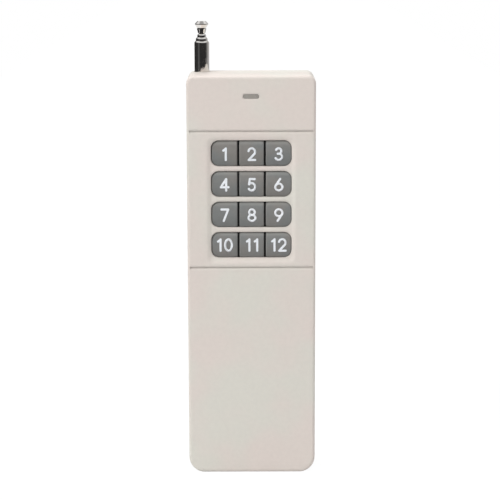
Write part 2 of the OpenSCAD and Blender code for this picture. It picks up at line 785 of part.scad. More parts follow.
module main_board() color([0.1, 0.35, 0.2]) upright() difference() {
    translate([0, board_foot + board_h / 2, board_back_z]) plate(board_w, board_h, board_t, board_r);
    for (p = post_places) translate([p[0], p[1], board_back_z - cut])
        cylinder(r = board_screw_r + 2 * fit, h = board_t + 2 * cut);
    for (p = head_screws) translate([p[0], p[1], board_back_z - cut])
        cylinder(r = rear_boss_r + seat_gap, h = board_t + 2 * cut);
}

// Twelve push switches: body with a round well, cover with a hole, and snap dome
module at_switches() {
    for (y = row_ys, x = column_xs) translate([x, y, board_front_z]) children();
}

module switch_bodies() color([0.15, 0.15, 0.16]) upright() at_switches() difference() {
    plate(switch_w, switch_w, switch_h, key_r);
    translate([0, 0, well_floor]) cylinder(r = well_r, h = switch_h);
}

module switch_covers() color([0.75, 0.76, 0.78]) upright() at_switches()
    translate([0, 0, switch_h]) difference() {
        plate(switch_w, switch_w, cover_t, key_r);
        translate([0, 0, -cut]) cylinder(r = plunger_r + loose, h = cover_t + 2 * cut);
    }

module switch_domes() color([0.8, 0.8, 0.78]) upright() at_switches() {
    rim_r = well_r - fit;
    dome_r = (rim_r * rim_r + dome_h * dome_h) / (2 * dome_h);
    translate([0, 0, well_floor]) rotate_extrude() intersection() {
        difference() {
            translate([0, dome_h - dome_r]) circle(dome_r, $fn = 180);
            translate([0, dome_h - dome_r]) circle(dome_r - dome_t, $fn = 180);
        }
        square([rim_r, dome_h]);
    }
}

// Key number n, counted along the rows from the top left
function key_row(n) = floor((n - 1) / columns);
function key_column(n) = (n - 1) % columns;

// What the crown leaves off a key's top
module key_crown(w) {
    difference() {
        translate([-w, -key_h, key_top_z - key_edge_r]) cube([2 * w, 2 * key_h, 2 * key_edge_r]);
        translate([-w - cut, 0, key_top_z - crown_r]) rotate([0, 90, 0])
            cylinder(r = crown_r, h = 2 * (w + cut));
    }
}

// A hollow cap with a crowned top and a rounded edge, a collar behind the window and a stem
module key(n) color([0.47, 0.47, 0.46]) upright() {
    column = key_column(n);
    w = column == 1 ? key_w : end_key_w;
    outward = column - 1;
    collar_w = w + (column == 1 ? 0 : key_collar);
    collar_h = key_h + 2 * key_collar;
    translate([column_xs[column] + key_play, row_ys[key_row(n)] - key_play, 0]) {
        difference() {
            union() {
                translate([0, 0, key_foot_z])
                    soft_block(w, key_h, key_top_z + key_edge_r / 4 - key_foot_z,
                        row_corners(column, row_r - loose), key_edge_r);
                translate([outward * key_collar / 2, 0, collar_top_z - key_collar_t])
                    linear_extrude(key_collar_t)
                        round_rect(collar_w, collar_h, row_corners(column, row_r));
            }
            translate([0, 0, key_foot_z - cut])
                plate(w - 2 * key_wall, key_h - 2 * key_wall,
                    key_top_z - key_wall - key_foot_z + cut, key_r);
            key_crown(w);
        }
        translate([0, 0, plunger_top_z])
            cylinder(r = stem_r, h = key_top_z - key_wall - plunger_top_z + fuse);
        for (a = [0, 90]) rotate(a) translate([-stem_r - rib_t, -rib_t / 2, key_foot_z + key_wall])
            cube([2 * (stem_r + rib_t), rib_t, key_top_z - 2 * key_wall - key_foot_z + fuse]);
    }
}

// The plunger under a key, with a flange that its switch's cover keeps in
module plunger(n) color([0.1, 0.1, 0.1]) upright()
    translate([column_xs[key_column(n)], row_ys[key_row(n)], 0]) {
        flange_z = cover_z - fit - plunger_flange_t;
        translate([0, 0, flange_z]) cylinder(r = well_r - seat_gap, h = plunger_flange_t);
        translate([0, 0, flange_z]) cylinder(r = plunger_r, h = plunger_top_z - flange_z);
    }

// Hangs a part, drawn standing on z = 0, behind the board at a share of its width and height
module behind_board(share) {
    translate([share[0] * board_w / 2, board_foot + share[1] * board_h, board_back_z])
        mirror([0, 0, 1]) children();
}

module encoder_chip() color([0.1, 0.1, 0.1]) upright() behind_board(chip_share)
    difference() {
        translate([0, 0, chip_stand])
            soft_block(chip_w, chip_len, chip_t, even(key_r), key_edge_r);
        translate([0, chip_len / 2, chip_stand + chip_t / 2]) cylinder(r = notch_r, h = chip_t);
    }

module encoder_pins() color([0.75, 0.75, 0.72]) upright() behind_board(chip_share)
    for (side = [-1, 1], i = [0:chip_pins / 2 - 1])
        translate([side * (chip_w / 2 + leg_r), (i - (chip_pins / 2 - 1) / 2) * pin_gap, 0]) {
            translate([-leg_r, -leg_r, 0])
                cube([2 * leg_r, 2 * leg_r, chip_stand + chip_t / 2 + leg_r]);
            translate([-leg_r, -pin_w / 2, chip_stand])
                cube([2 * leg_r, pin_w, chip_t / 2 + leg_r]);
        }

// Round metal can of the resonator that sets the transmitting frequency
module resonator_can() color([0.75, 0.75, 0.75]) upright() behind_board(resonator_share) {
    for (a = [0, 120, 240]) rotate(a) translate([resonator_r / 2, 0, 0])
        cylinder(r = leg_r, h = chip_stand + fuse);
    translate([0, 0, chip_stand]) cylinder(r = resonator_r, h = resonator_rim_h);
    translate([0, 0, chip_stand]) rotate_extrude()
        rim_profile(resonator_r - resonator_rim_h, resonator_h, resonator_rim_h);
}

// Small transistor with one flat side, on three legs
module rf_transistor() color([0.12, 0.12, 0.12]) upright() behind_board(transistor_share) {
    for (x = [-1, 0, 1]) translate([x * pin_gap / 2, 0, 0])
        cylinder(r = leg_r, h = transistor_stand + fuse);
    translate([0, 0, transistor_stand]) difference() {
        cylinder(r = transistor_r, h = transistor_h);
        translate([-transistor_r - cut, transistor_r / 2, -cut])
            cube([2 * (transistor_r + cut), transistor_r, transistor_h + 2 * cut]);
    }
}

// A part with an axial body across x, on two bent legs
module axial_part(r, len, span) {
    for (side = [-1, 1]) {
        translate([side * span / 2, 0, 0]) cylinder(r = leg_r, h = r + fit);
        translate([side * span / 2, 0, r + fit]) sphere(leg_r);
        translate([side > 0 ? len / 2 - r / 2 : -span / 2, 0, r + fit]) rotate([0, 90, 0])
            cylinder(r = leg_r, h = (span - len + r) / 2);
    }
    translate([-len / 2, 0, r + fit]) rotate([0, 90, 0]) rotate_extrude() intersection() {
        union() {
            square([r / 2, len]);
            translate([r / 2, r / 2]) circle(r / 2);
            translate([r / 2, len - r / 2]) circle(r / 2);
            translate([0, r / 2]) square([r * waist_share, len - r]);
        }
        square([r, len]);
    }
}

module tuning_coil() color([0.2, 0.45, 0.3]) upright() behind_board(coil_share) rotate(90)
    axial_part(coil_r, coil_len, coil_len + coil_r * 2);

module resistors() color([0.75, 0.65, 0.45]) upright()
    for (i = [0:resistor_count - 1]) translate([0, i * resistor_gap, 0])
        behind_board(resistor_share) axial_part(resistor_r, resistor_len, resistor_span);

module supply_capacitor() color([0.12, 0.16, 0.35]) upright() behind_board(supply_share) {
    for (x = [-1, 1]) translate([x * pin_gap / 2, 0, 0])
        cylinder(r = leg_r, h = chip_stand + fuse);
    translate([0, 0, chip_stand]) rotate_extrude()
        rim_profile(supply_r, supply_h, key_edge_r);
}

module ceramic_capacitors() color([0.75, 0.45, 0.2]) upright()
    for (share = ceramic_shares) behind_board(share) {
        for (x = [-1, 1]) translate([x * pin_gap / 2, 0, 0])
            cylinder(r = leg_r, h = ceramic_r + chip_stand);
        translate([0, ceramic_t / 2, ceramic_r + chip_stand]) rotate([90, 0, 0])
            cylinder(r = ceramic_r, h = ceramic_t);
    }

// The block battery stands in its bay, terminals up
module battery() color([0.2, 0.22, 0.26]) translate([0, battery_y, battery_foot]) {
    translate([0, 0, seam_h]) plate(battery_w, battery_d, battery_h - 2 * seam_h, battery_r);
    plate(battery_w - 2 * seam_t, battery_d - 2 * seam_t, battery_h, battery_r - seam_t);
}

module battery_terminals() color([0.8, 0.8, 0.8]) translate([0, battery_y, can_top]) {
    translate([-terminal_x, 0, 0]) {
        cylinder(r = socket_r, h = cover_t);
        cylinder(r = stud_r, h = terminal_h);
    }
    translate([terminal_x, 0, 0]) difference() {
        cylinder(r = socket_r, h = terminal_h);
        translate([0, 0, cover_t]) cylinder(r = stud_r + loose, h = terminal_h);
    }
}

// Snap connector on the battery's terminals, with the opposite pair of contacts
module battery_snap() color([0.1, 0.1, 0.1])
    translate([0, battery_y, can_top + terminal_h + 2 * fit]) difference() {
        soft_block(battery_w - 2 * fit, snap_d, snap_t, even(socket_r), snap_edge_r);
        for (x = [-lead_x, lead_x]) translate([x, lead_y - battery_y, snap_t / 2])
            cylinder(r = lead_r + running, h = snap_t);
    }

module snap_contacts() color([0.78, 0.78, 0.75]) translate([0, battery_y, can_top]) {
    contact_h = terminal_h + 2 * fit;
    translate([-terminal_x, 0, cover_t + 2 * fit]) difference() {
        cylinder(r = socket_r, h = contact_h - cover_t - 2 * fit);
        translate([0, 0, -cut]) cylinder(r = stud_r + loose, h = contact_h + 2 * cut);
    }
    translate([terminal_x, 0, cover_t + 2 * fit])
        cylinder(r = stud_r, h = contact_h - cover_t - 2 * fit);
}

// A lead from the snap connector up through the bay's slot, bent forward to the board
module battery_lead(x) translate([x, 0, 0]) {
    snap_top = can_top + terminal_h + 2 * fit + snap_t;
    translate([0, lead_y, snap_top - snap_t / 2])
        cylinder(r = lead_r, h = lead_bend_h - snap_top + snap_t / 2);
    translate([0, lead_y - lead_bend_r, lead_bend_h]) rotate([90, 0, 90])
        rotate_extrude(angle = 90) translate([lead_bend_r, 0]) circle(lead_r);
    translate([0, lead_y - lead_bend_r, lead_bend_h + lead_bend_r]) rotate([90, 0, 0])
        cylinder(r = lead_r, h = lead_y - lead_bend_r - board_back_y);
}

module battery_lead_red() color([0.75, 0.1, 0.08]) battery_lead(lead_x);

module battery_lead_black() color([0.08, 0.08, 0.08]) battery_lead(-lead_x);

// Section of a tube from z0 to z1 whose mouth is rolled in to a smaller radius
module tube_section(i, z0, z1) {
    r = section_r(i);
    mouth = section_r(i + 1) + running;
    difference() {
        translate([0, z0]) square([r, z1 - z0]);
        translate([0, z0 - cut]) square([r - antenna_wall, z1 - rim_h - z0 + cut]);
        translate([0, z0]) square([mouth, z1 - z0 + cut]);
        translate([r - roll_r, z1 - roll_r]) difference() {
            square([roll_r + cut, roll_r + cut]);
            circle(roll_r);
        }
    }
}

// Sliding collar at the inner end of a section
module collar_section(i) {
    translate([section_r(i) - antenna_wall, section_foot(i)])
        square([antenna_step - running, collar_h]);
}

module at_antenna() {
    translate([antenna_x, antenna_y, 0]) children();
}

module antenna_tube(i) color([0.3, 0.29, 0.29]) at_antenna() rotate_extrude() {
    tube_section(i, i == 0 ? antenna_foot_h : section_foot(i), section_top(i));
    if (i > 0) collar_section(i);
}

// Thin rod with a turned knob on its top: a cup, a groove and a head with sloping faces
module antenna_tip() color([0.8, 0.8, 0.8]) at_antenna() {
    i = sections - 1;
    r = section_r(i);
    top = section_top(i - 1) + fit;
    z = [for (share = knob_shares) share * knob_h];
    translate([0, 0, section_foot(i)]) cylinder(r = r, h = top - section_foot(i) + fuse);
    translate([0, 0, section_foot(i)])
        cylinder(r = r + antenna_step - antenna_wall - running, h = collar_h);
    translate([0, 0, top]) rotate_extrude()
        polygon([[0, 0], [r + antenna_wall, 0], [knob_cup_r, z[0]], [knob_cup_r, z[1]],
            [knob_groove_r, z[1]], [knob_groove_r, z[2]], [knob_cup_r, z[2]], [knob_r, z[3]],
            [knob_r, z[4]], [knob_top_r, knob_h], [0, knob_h]]);
}

// Brass plug that closes the outer tube, drilled for its screw
module antenna_foot() color([0.78, 0.62, 0.3]) at_antenna() translate([0, 0, antenna_foot_h])
    difference() {
        cylinder(r = antenna_r - antenna_wall - fit / 4, h = plug_h - 2 * (fit + running));
        translate([0, 0, -cut]) cylinder(r = antenna_screw_r, h = plug_h + 2 * cut);
    }

// Brass strip from the antenna's foot to the board
module antenna_bracket() color([0.78, 0.62, 0.3]) difference() {
    translate([antenna_x - bracket_w / 2, board_back_y, antenna_foot_h - bracket_t])
        cube([bracket_w, antenna_y + antenna_r - board_back_y, bracket_t]);
    at_antenna() translate([0, 0, antenna_foot_h - bracket_t - cut])
        cylinder(r = antenna_screw_r + fit, h = bracket_t + 2 * cut);
}

module antenna_screw() color([0.6, 0.6, 0.6]) at_antenna()
    translate([0, 0, antenna_foot_h - bracket_t - antenna_head_h])
        pan_screw(antenna_head_r, antenna_head_h, antenna_screw_r - running,
            bracket_t + plug_h - seat_gap);

front_shell();
rear_shell();
battery_door();
door_pad();
case_screws();
board_screws();
key_frame();
indicator_lens();
indicator_lamp();
main_board();
switch_bodies();
switch_covers();
switch_domes();
key(1);  // key_01
key(2);  // key_02
key(3);  // key_03
key(4);  // key_04
key(5);  // key_05
key(6);  // key_06
key(7);  // key_07
key(8);  // key_08
key(9);  // key_09
key(10);  // key_10
key(11);  // key_11
key(12);  // key_12
plunger(1);  // plunger_01
plunger(2);  // plunger_02
plunger(3);  // plunger_03
plunger(4);  // plunger_04
plunger(5);  // plunger_05
plunger(6);  // plunger_06
plunger(7);  // plunger_07
plunger(8);  // plunger_08
plunger(9);  // plunger_09
plunger(10);  // plunger_10
plunger(11);  // plunger_11
plunger(12);  // plunger_12
encoder_chip();
encoder_pins();
resonator_can();
rf_transistor();
tuning_coil();
supply_capacitor();
resistors();
ceramic_capacitors();
battery();
battery_terminals();
battery_snap();
snap_contacts();
battery_lead_red();
battery_lead_black();
antenna_tube(0);  // antenna_tube_1
antenna_tube(1);  // antenna_tube_2
antenna_tube(2);  // antenna_tube_3
antenna_tip();
antenna_foot();
antenna_bracket();
antenna_screw();
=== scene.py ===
from math import cos, radians, sin

import bpy
from mathutils import Matrix, Quaternion, Vector


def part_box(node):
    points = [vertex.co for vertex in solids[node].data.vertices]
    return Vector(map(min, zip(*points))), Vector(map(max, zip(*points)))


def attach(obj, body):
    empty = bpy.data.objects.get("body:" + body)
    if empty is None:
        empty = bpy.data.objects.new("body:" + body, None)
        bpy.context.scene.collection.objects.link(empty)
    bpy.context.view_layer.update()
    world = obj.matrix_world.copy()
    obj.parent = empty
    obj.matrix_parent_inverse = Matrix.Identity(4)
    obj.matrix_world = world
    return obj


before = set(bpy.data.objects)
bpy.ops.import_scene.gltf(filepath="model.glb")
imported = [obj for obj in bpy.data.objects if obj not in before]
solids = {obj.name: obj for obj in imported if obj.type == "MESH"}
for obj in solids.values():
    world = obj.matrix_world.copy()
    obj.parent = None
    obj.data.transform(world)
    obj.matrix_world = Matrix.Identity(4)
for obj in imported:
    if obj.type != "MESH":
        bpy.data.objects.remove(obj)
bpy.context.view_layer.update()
mm = 0.001


# --- Studio -------------------------------------------------------------------------------------
# The transmitter stands on a sheet of white paper under a wide soft light from above. The room on
# the camera's side is dark, and that is what the chromed antenna shows. The camera looks down a little.

def tone(red, green, blue):
    """A screen colour, 0 to 255 a channel, as the linear colour that a shader takes."""
    channels = []
    for value in (red, green, blue):
        value /= 255
        channels.append(value / 12.92 if value <= 0.04045 else ((value + 0.055) / 1.055) ** 2.4)
    return (*channels, 1)


def add_node(tree, kind, inputs=None, **settings):
    """A node with its settings made and its inputs set or linked; an input is a name or a number."""
    node = tree.nodes.new(kind)
    for key, value in settings.items():
        setattr(node, key, value)
    for key, value in (inputs or {}).items():
        if isinstance(value, bpy.types.NodeSocket):
            tree.links.new(value, node.inputs[key])
        else:
            node.inputs[key].default_value = value
    return node


def math(tree, operation, *values):
    """The result of a Math node."""
    return add_node(tree, "ShaderNodeMath", dict(enumerate(values)), operation=operation).outputs[0]


def stepped(tree, value, low, high, below=0.0, above=1.0):
    """Below up to low, above from high on, and a smooth step between them."""
    spread = {"Value": value, "From Min": low, "From Max": high, "To Min": below, "To Max": above}
    return add_node(tree, "ShaderNodeMapRange", spread, interpolation_type="SMOOTHSTEP").outputs[0]


def blended(tree, share, first, second, way="MIX"):
    """Two colours mixed by a share from 0 to 1."""
    mix = {0: share, 6: first, 7: second}
    return add_node(tree, "ShaderNodeMix", mix, data_type="RGBA", blend_type=way).outputs[2]


def light_the_room():
    """White behind the transmitter; lit softly from above and the right; metal sees a dark front."""
    world = bpy.data.worlds.new("studio")
    world.use_nodes = True
    bpy.context.scene.world = world
    tree = world.node_tree
    tree.nodes.clear()
    way = add_node(tree, "ShaderNodeTexCoord").outputs["Generated"]
    across, along, up = add_node(tree, "ShaderNodeSeparateXYZ", {0: way}).outputs

    def towards(right, back):
        return math(tree, "ADD", math(tree, "MULTIPLY", across, right),
                    math(tree, "MULTIPLY", along, back))

    beside = towards(0.75, 0.66)
    overhead = stepped(tree, up, 0.3, 0.75, 0.0, 0.95)
    skylight = math(tree, "MULTIPLY", overhead, stepped(tree, up, 0.88, 0.97, 1.0, 0.45))
    soft = math(tree, "MAXIMUM", overhead, stepped(tree, beside, 0.55, 0.8, 0.0, 0.6))
    soft = math(tree, "MAXIMUM", soft, stepped(tree, up, -0.12, -0.02, 0.88, 0.3))
    window = towards(-0.74, -0.67)
    wall = math(tree, "MULTIPLY", stepped(tree, along, -0.7, 1.0, 0.0, 0.6),
                stepped(tree, across, 0.0, 0.3))
    backdrop = math(tree, "MAXIMUM", wall, stepped(tree, along, 0.94, 0.98, 0.0, 1.0))
    mirrored = math(tree, "MAXIMUM", math(tree, "MAXIMUM", skylight, backdrop),
                    stepped(tree, window, 0.95, 0.99, 0.03, 0.1))
    path = add_node(tree, "ShaderNodeLightPath").outputs
    in_metal = math(tree, "MAXIMUM", path["Is Glossy Ray"], path["Is Transmission Ray"])
    level = add_node(tree, "ShaderNodeMix", {0: in_metal, 2: soft, 3: mirrored}).outputs[0]
    room = add_node(tree, "ShaderNodeBackground", {"Color": (1, 1, 1, 1), "Strength": level})
    plain = add_node(tree, "ShaderNodeBackground", {"Color": (1, 1, 1, 1), "Strength": 1})
    both = add_node(tree, "ShaderNodeMixShader", {0: path["Is Camera Ray"], 1: room.outputs[0],
                                                  2: plain.outputs[0]})
    add_node(tree, "ShaderNodeOutputWorld", {0: both.outputs[0]})


def hang_lamp(name, place, aim, size, watts):
    data = bpy.data.lights.new(name, "AREA")
    data.shape = "RECTANGLE"
    data.size, data.size_y = size
    data.energy = watts
    lamp = bpy.data.objects.new(name, data)
    lamp.location = place
    lamp.rotation_euler = (Vector(aim) - Vector(place)).to_track_quat("-Z", "Y").to_euler()
    lamp.visible_glossy = False
    bpy.context.scene.collection.objects.link(lamp)


def lay_floor():
    """A sheet of white paper that ends a hand's breadth in front of the transmitter."""
    side, front, back = 0.3, -0.12, 4
    mesh = bpy.data.meshes.new("floor")
    mesh.from_pydata([(-side, front, 0), (side, front, 0), (side, back, 0), (-side, back, 0)], [],
                     [(0, 1, 2, 3)])
    floor = bpy.data.objects.new("floor", mesh)
    bpy.context.scene.collection.objects.link(floor)
    material = bpy.data.materials.new("white_paper")
    material.use_nodes = True
    tree = material.node_tree
    tree.nodes.clear()
    paint = add_node(tree, "ShaderNodeBsdfDiffuse", {"Color": (0.7, 0.7, 0.7, 1)})
    plain = add_node(tree, "ShaderNodeEmission", {"Color": (1, 1, 1, 1), "Strength": 1.06})
    path = add_node(tree, "ShaderNodeLightPath").outputs
    seen = math(tree, "MAXIMUM", path["Is Camera Ray"], path["Is Transmission Ray"])
    seen = math(tree, "MULTIPLY", math(tree, "MAXIMUM", seen, path["Is Glossy Ray"]), 0.9)
    both = add_node(tree, "ShaderNodeMixShader", {0: seen, 1: paint.outputs[0], 2: plain.outputs[0]})
    add_node(tree, "ShaderNodeOutputMaterial", {0: both.outputs[0]})
    mesh.materials.append(material)


def set_camera():
    """A long lens, a hand's breadth above the keys, rolled by the photograph's sixth of a degree."""
    data = bpy.data.cameras.new("camera")
    data.lens = 130.1
    data.sensor_width = 36
    camera = bpy.data.objects.new("camera", data)
    camera.location = (-0.00050, -0.6023, 0.1840)
    aim = Vector((-0.00050, -0.012, 0.0767)) - camera.location
    roll = Quaternion((0, 0, 1), radians(-0.155))
    camera.rotation_euler = (aim.to_track_quat("-Z", "Y") @ roll).to_euler()
    bpy.context.scene.collection.objects.link(camera)
    bpy.context.scene.camera = camera


bpy.context.scene.view_settings.view_transform = "Standard"
light_the_room()
lay_floor()
set_camera()
hang_lamp("left_softbox", (-0.8, -0.75, 0.9), (0, 0, 0.07), (0.5, 0.7), 10.6)
hang_lamp("top_softbox", (-0.1, 0.1, 1.3), (0, 0, 0.07), (0.9, 0.9), 5.6)


# --- Casing -------------------------------------------------------------------------------------
# Two shells and a battery door, injection moulded in ivory-grey ABS with a fine spark texture.
# Handling has polished the edges a little, and the grooves and the ground round the keys are darkened,
# partly as dust and partly as painted shade.

def new_material(name, roughness, metallic=0.0, **sockets):
    """A material with its Principled shader, the shader's tree and the piece's own coordinates."""
    material = bpy.data.materials.new(name)
    material.use_nodes = True
    tree = material.node_tree
    tree.nodes.clear()
    shader = add_node(tree, "ShaderNodeBsdfPrincipled", {"Roughness": roughness, "Metallic": metallic})
    for key, value in sockets.items():
        shader.inputs[key.replace("_", " ")].default_value = value
    add_node(tree, "ShaderNodeOutputMaterial", {0: shader.outputs[0]})
    place = add_node(tree, "ShaderNodeTexCoord").outputs["Object"]
    return material, tree, shader, place


def shader_of(tree):
    return next(node for node in tree.nodes if node.type == "BSDF_PRINCIPLED")


def noise(tree, place, grain, detail=2.0, stretch=None):
    """Noise with features about grain mm across, drawn out along an axis by stretch."""
    if stretch:
        place = add_node(tree, "ShaderNodeMapping", {"Vector": place, "Scale": stretch}).outputs[0]
    return add_node(tree, "ShaderNodeTexNoise", {"Vector": place, "Scale": 1 / (grain * mm),
                                                 "Detail": detail}).outputs[0]


def edge_share(tree, radius):
    """0 on flat ground, up to 1 on a sharp edge, and the normal with that edge rounded."""
    rounded = add_node(tree, "ShaderNodeBevel", {"Radius": radius}, samples=4).outputs[0]
    flat = add_node(tree, "ShaderNodeNewGeometry").outputs["Normal"]
    turn = add_node(tree, "ShaderNodeVectorMath", {0: rounded, 1: flat}, operation="DOT_PRODUCT")
    return stepped(tree, turn.outputs["Value"], 0.75, 0.995, 1.0, 0.0), rounded


def moulded(name, colour, second, roughness, grain=0.12, depth=0.006, drift=22.0, dust_and_shade=0.12, wear=0.1,
            edge=0.12, mottle=0.03, **sockets):
    """Moulded plastic: two close shades in slow patches, dust and painted shade in corners, worn edges,
    fine grain.
    """
    material, tree, shader, place = new_material(name, roughness, **sockets)
    patch = stepped(tree, noise(tree, place, drift), 0.35, 0.65)
    colour = blended(tree, patch, colour, second)
    speck = stepped(tree, noise(tree, place, 1.3, 4), 0.3, 0.7, 1 - mottle, 1 + mottle)
    colour = blended(tree, 1.0, colour, add_node(tree, "ShaderNodeCombineColor", {
        0: speck, 1: speck, 2: speck}).outputs[0], "MULTIPLY")
    worn, rounded = edge_share(tree, edge * mm)
    colour = blended(tree, math(tree, "MULTIPLY", worn, wear), colour, (0.9, 0.89, 0.86, 1))
    # Corners and crevices within 1.2 mm are darkened towards a brown: partly dust, partly painted shade.
    corner = add_node(tree, "ShaderNodeAmbientOcclusion", {"Distance": 1.2 * mm}, samples=6,
                      only_local=True).outputs["AO"]
    dirt_and_shade = math(tree, "MULTIPLY", stepped(tree, corner, 0.35, 0.9, 1.0, 0.0), dust_and_shade)
    colour = blended(tree, dirt_and_shade, colour, tone(84, 74, 60))
    tree.links.new(colour, shader.inputs["Base Color"])
    sheen = stepped(tree, noise(tree, place, 7.0, 3), 0.3, 0.7, roughness - 0.05, roughness + 0.06)
    sheen = math(tree, "SUBTRACT", sheen, math(tree, "MULTIPLY", worn, 0.12))
    tree.links.new(sheen, shader.inputs["Roughness"])
    bump = add_node(tree, "ShaderNodeBump", {"Height": noise(tree, place, grain, 1), "Normal": rounded,
                                             "Strength": 0.5, "Distance": depth * mm})
    tree.links.new(bump.outputs[0], shader.inputs["Normal"])
    return material


def dress(names, material):
    """Gives the CAD nodes of these names the material."""
    for name in names:
        for held in solids[name].material_slots:
            held.material = material


casing = moulded("casing_abs", tone(216, 213, 204), tone(220, 210, 203), 0.46, wear=0.09, edge=1.1,
                mottle=0.012)
dress(["front_shell", "rear_shell", "battery_door"], casing)


# --- Keys ---------------------------------------------------------------------------------------
# Twelve grey caps in a matt plastic, each with its number pad-printed on it in white ink.
# The ink stands a few hundredths of a millimetre above the cap, and its strokes have round ends.

def rubbed(material, pitch, start):
    """Paints a highlight on the rims that face up and left and along each key's top edge, and a shade
    that darkens each key towards its foot.
    """
    tree = material.node_tree
    colour = shader_of(tree).inputs["Base Color"]
    height = add_node(tree, "ShaderNodeSeparateXYZ", {
        0: add_node(tree, "ShaderNodeTexCoord").outputs["Object"]}).outputs[2]
    along = math(tree, "FRACT", math(tree, "DIVIDE", math(tree, "SUBTRACT", height, start), pitch))
    painted_shade_share = stepped(tree, along, 0.0, 0.9, 0.28, 0.0)
    shade = blended(tree, painted_shade_share, colour.links[0].from_socket, tone(70, 72, 74))
    across, _, up = add_node(tree, "ShaderNodeSeparateXYZ", {
        0: add_node(tree, "ShaderNodeNewGeometry").outputs["Normal"]}).outputs
    leaning = math(tree, "SUBTRACT", up, math(tree, "MULTIPLY", across, 0.5))
    painted_highlight = math(tree, "MAXIMUM", stepped(tree, leaning, 0.12, 0.5, 0.0, 0.5),
               stepped(tree, along, 0.74, 0.88, 0.0, 0.28))
    tree.links.new(blended(tree, painted_highlight, shade, tone(190, 190, 186)), colour)


# The keys' edges are lightened across 0.8 mm: partly wear, partly a painted highlight on their rounded
# rims.
key_plastic = moulded("key_plastic", tone(135, 132, 128), tone(128, 130, 129), 0.42, grain=0.1,
                      drift=9.0, dust_and_shade=0.1, wear=0.1, edge=0.8)
key_low, key_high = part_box("key_05")
KEY_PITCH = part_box("key_02")[1].z - key_high.z
# Each key gets a painted highlight on its upper and left rims and top edge, and a painted shade towards
# its foot.
rubbed(key_plastic, KEY_PITCH, (key_low.z + key_high.z - KEY_PITCH) / 2)
dress([f"key_{number:02}" for number in range(1, 13)], key_plastic)

STROKE = 0.74
INK = 0.05


def arc(middle, reach, start, end, steps=18):
    """Points on an ellipse from one angle to another, in degrees."""
    turns = [radians(start + (end - start) * step / steps) for step in range(steps + 1)]
    return [(middle[0] + reach[0] * cos(turn), middle[1] + reach[1] * sin(turn)) for turn in turns]


TOP, FOOT = 1.92, -1.92
DIGITS = {
    "0": [arc((0, 0), (1.12, TOP), 0, 360, 40)],
    "1": [[(-0.52, 1.2), (0.3, TOP - 0.1)], [(0.3, TOP), (0.3, FOOT)]],
    "2": [arc((0, 0.8), (1.1, 1.12), 168, -36), [(0.89, 0.14), (-1.02, FOOT)],
          [(-1.02, FOOT), (1.12, FOOT)]],
    "3": [arc((-0.05, 1.02), (0.92, 0.9), 152, -72), arc((-0.02, -0.86), (1.14, 1.06), 76, -154),
          [(-0.32, 0.14), (0.25, 0.14)]],
    "4": [[(0.5, TOP), (0.5, FOOT)], [(0.5, TOP), (-1.24, -0.8)], [(-1.24, -0.8), (1.26, -0.8)]],
    "5": [[(-0.62, TOP), (0.98, TOP)], [(-0.62, TOP), (-0.9, 0.2)],
          arc((-0.04, -0.68), (1.14, 1.24), 138, -146)],
    "6": [arc((0, -0.78), (1.18, 1.14), 0, 360, 40), [(0.42, TOP), (-1.02, -0.22)]],
    "7": [[(-1.12, TOP), (1.14, TOP)], [(1.14, TOP), (-0.36, FOOT)]],
    "8": [arc((0, 0.98), (0.92, 0.94), 0, 360, 40), arc((0, -0.92), (1.12, 1.0), 0, 360, 40)],
    "9": [arc((0, 0.78), (1.18, 1.14), 0, 360, 40), [(-0.42, FOOT), (1.02, 0.22)]],
}
# How far left and right the two digits of a number stand, where the columns print, and how far
# below each row's middle
SHIFTS = {10: (-2.02, 0.94), 11: (-1.57, 1.03), 12: (-1.77, 1.11)}
PRINT_X = (-8.8, 0.2, 9.1)
PRINT_DROP = (0.22, 0.2, 0.17, 0.04)


def ink_tree(ink):
    """Geometry nodes that turn centre lines into flat printed strokes with round ends."""
    tree = bpy.data.node_groups.new("printed_numeral", "GeometryNodeTree")
    lines = tree.interface.new_socket("Lines", in_out="INPUT", socket_type="NodeSocketGeometry")
    width = tree.interface.new_socket("Stroke", in_out="INPUT", socket_type="NodeSocketFloat")
    depth = tree.interface.new_socket("Ink", in_out="INPUT", socket_type="NodeSocketFloat")
    tree.interface.new_socket("Print", in_out="OUTPUT", socket_type="NodeSocketGeometry")
    given = add_node(tree, "NodeGroupInput").outputs
    curve = add_node(tree, "GeometryNodeMeshToCurve", {0: given["Lines"]}).outputs[0]
    curve = add_node(tree, "GeometryNodeSetCurveNormal", {"Curve": curve}, mode="Z_UP").outputs[0]
    band = add_node(tree, "GeometryNodeCurvePrimitiveQuadrilateral", {
        "Width": given["Stroke"], "Height": given["Ink"]}).outputs[0]
    strokes = add_node(tree, "GeometryNodeCurveToMesh", {
        "Curve": curve, "Profile Curve": band, "Fill Caps": True}).outputs[0]
    half = add_node(tree, "ShaderNodeMath", {0: given["Stroke"], 1: 0.5},
                    operation="MULTIPLY").outputs[0]
    dot = add_node(tree, "GeometryNodeMeshCylinder", {
        "Vertices": 28, "Radius": half, "Depth": given["Ink"]}).outputs[0]
    ends = add_node(tree, "GeometryNodeCurveEndpointSelection").outputs[0]
    dots = add_node(tree, "GeometryNodeInstanceOnPoints", {
        "Points": curve, "Selection": ends, "Instance": dot}).outputs[0]
    dots = add_node(tree, "GeometryNodeRealizeInstances", {0: dots}).outputs[0]
    union = add_node(tree, "GeometryNodeMeshBoolean", operation="UNION", solver="EXACT")
    union.inputs["Self Intersection"].default_value = True
    for part in (strokes, dots):
        tree.links.new(part, union.inputs["Mesh 2"])
    inked = add_node(tree, "GeometryNodeSetMaterial", {"Geometry": union.outputs[0],
                                                       "Material": ink}).outputs[0]
    add_node(tree, "NodeGroupOutput", {0: inked})
    return tree, width.identifier, depth.identifier


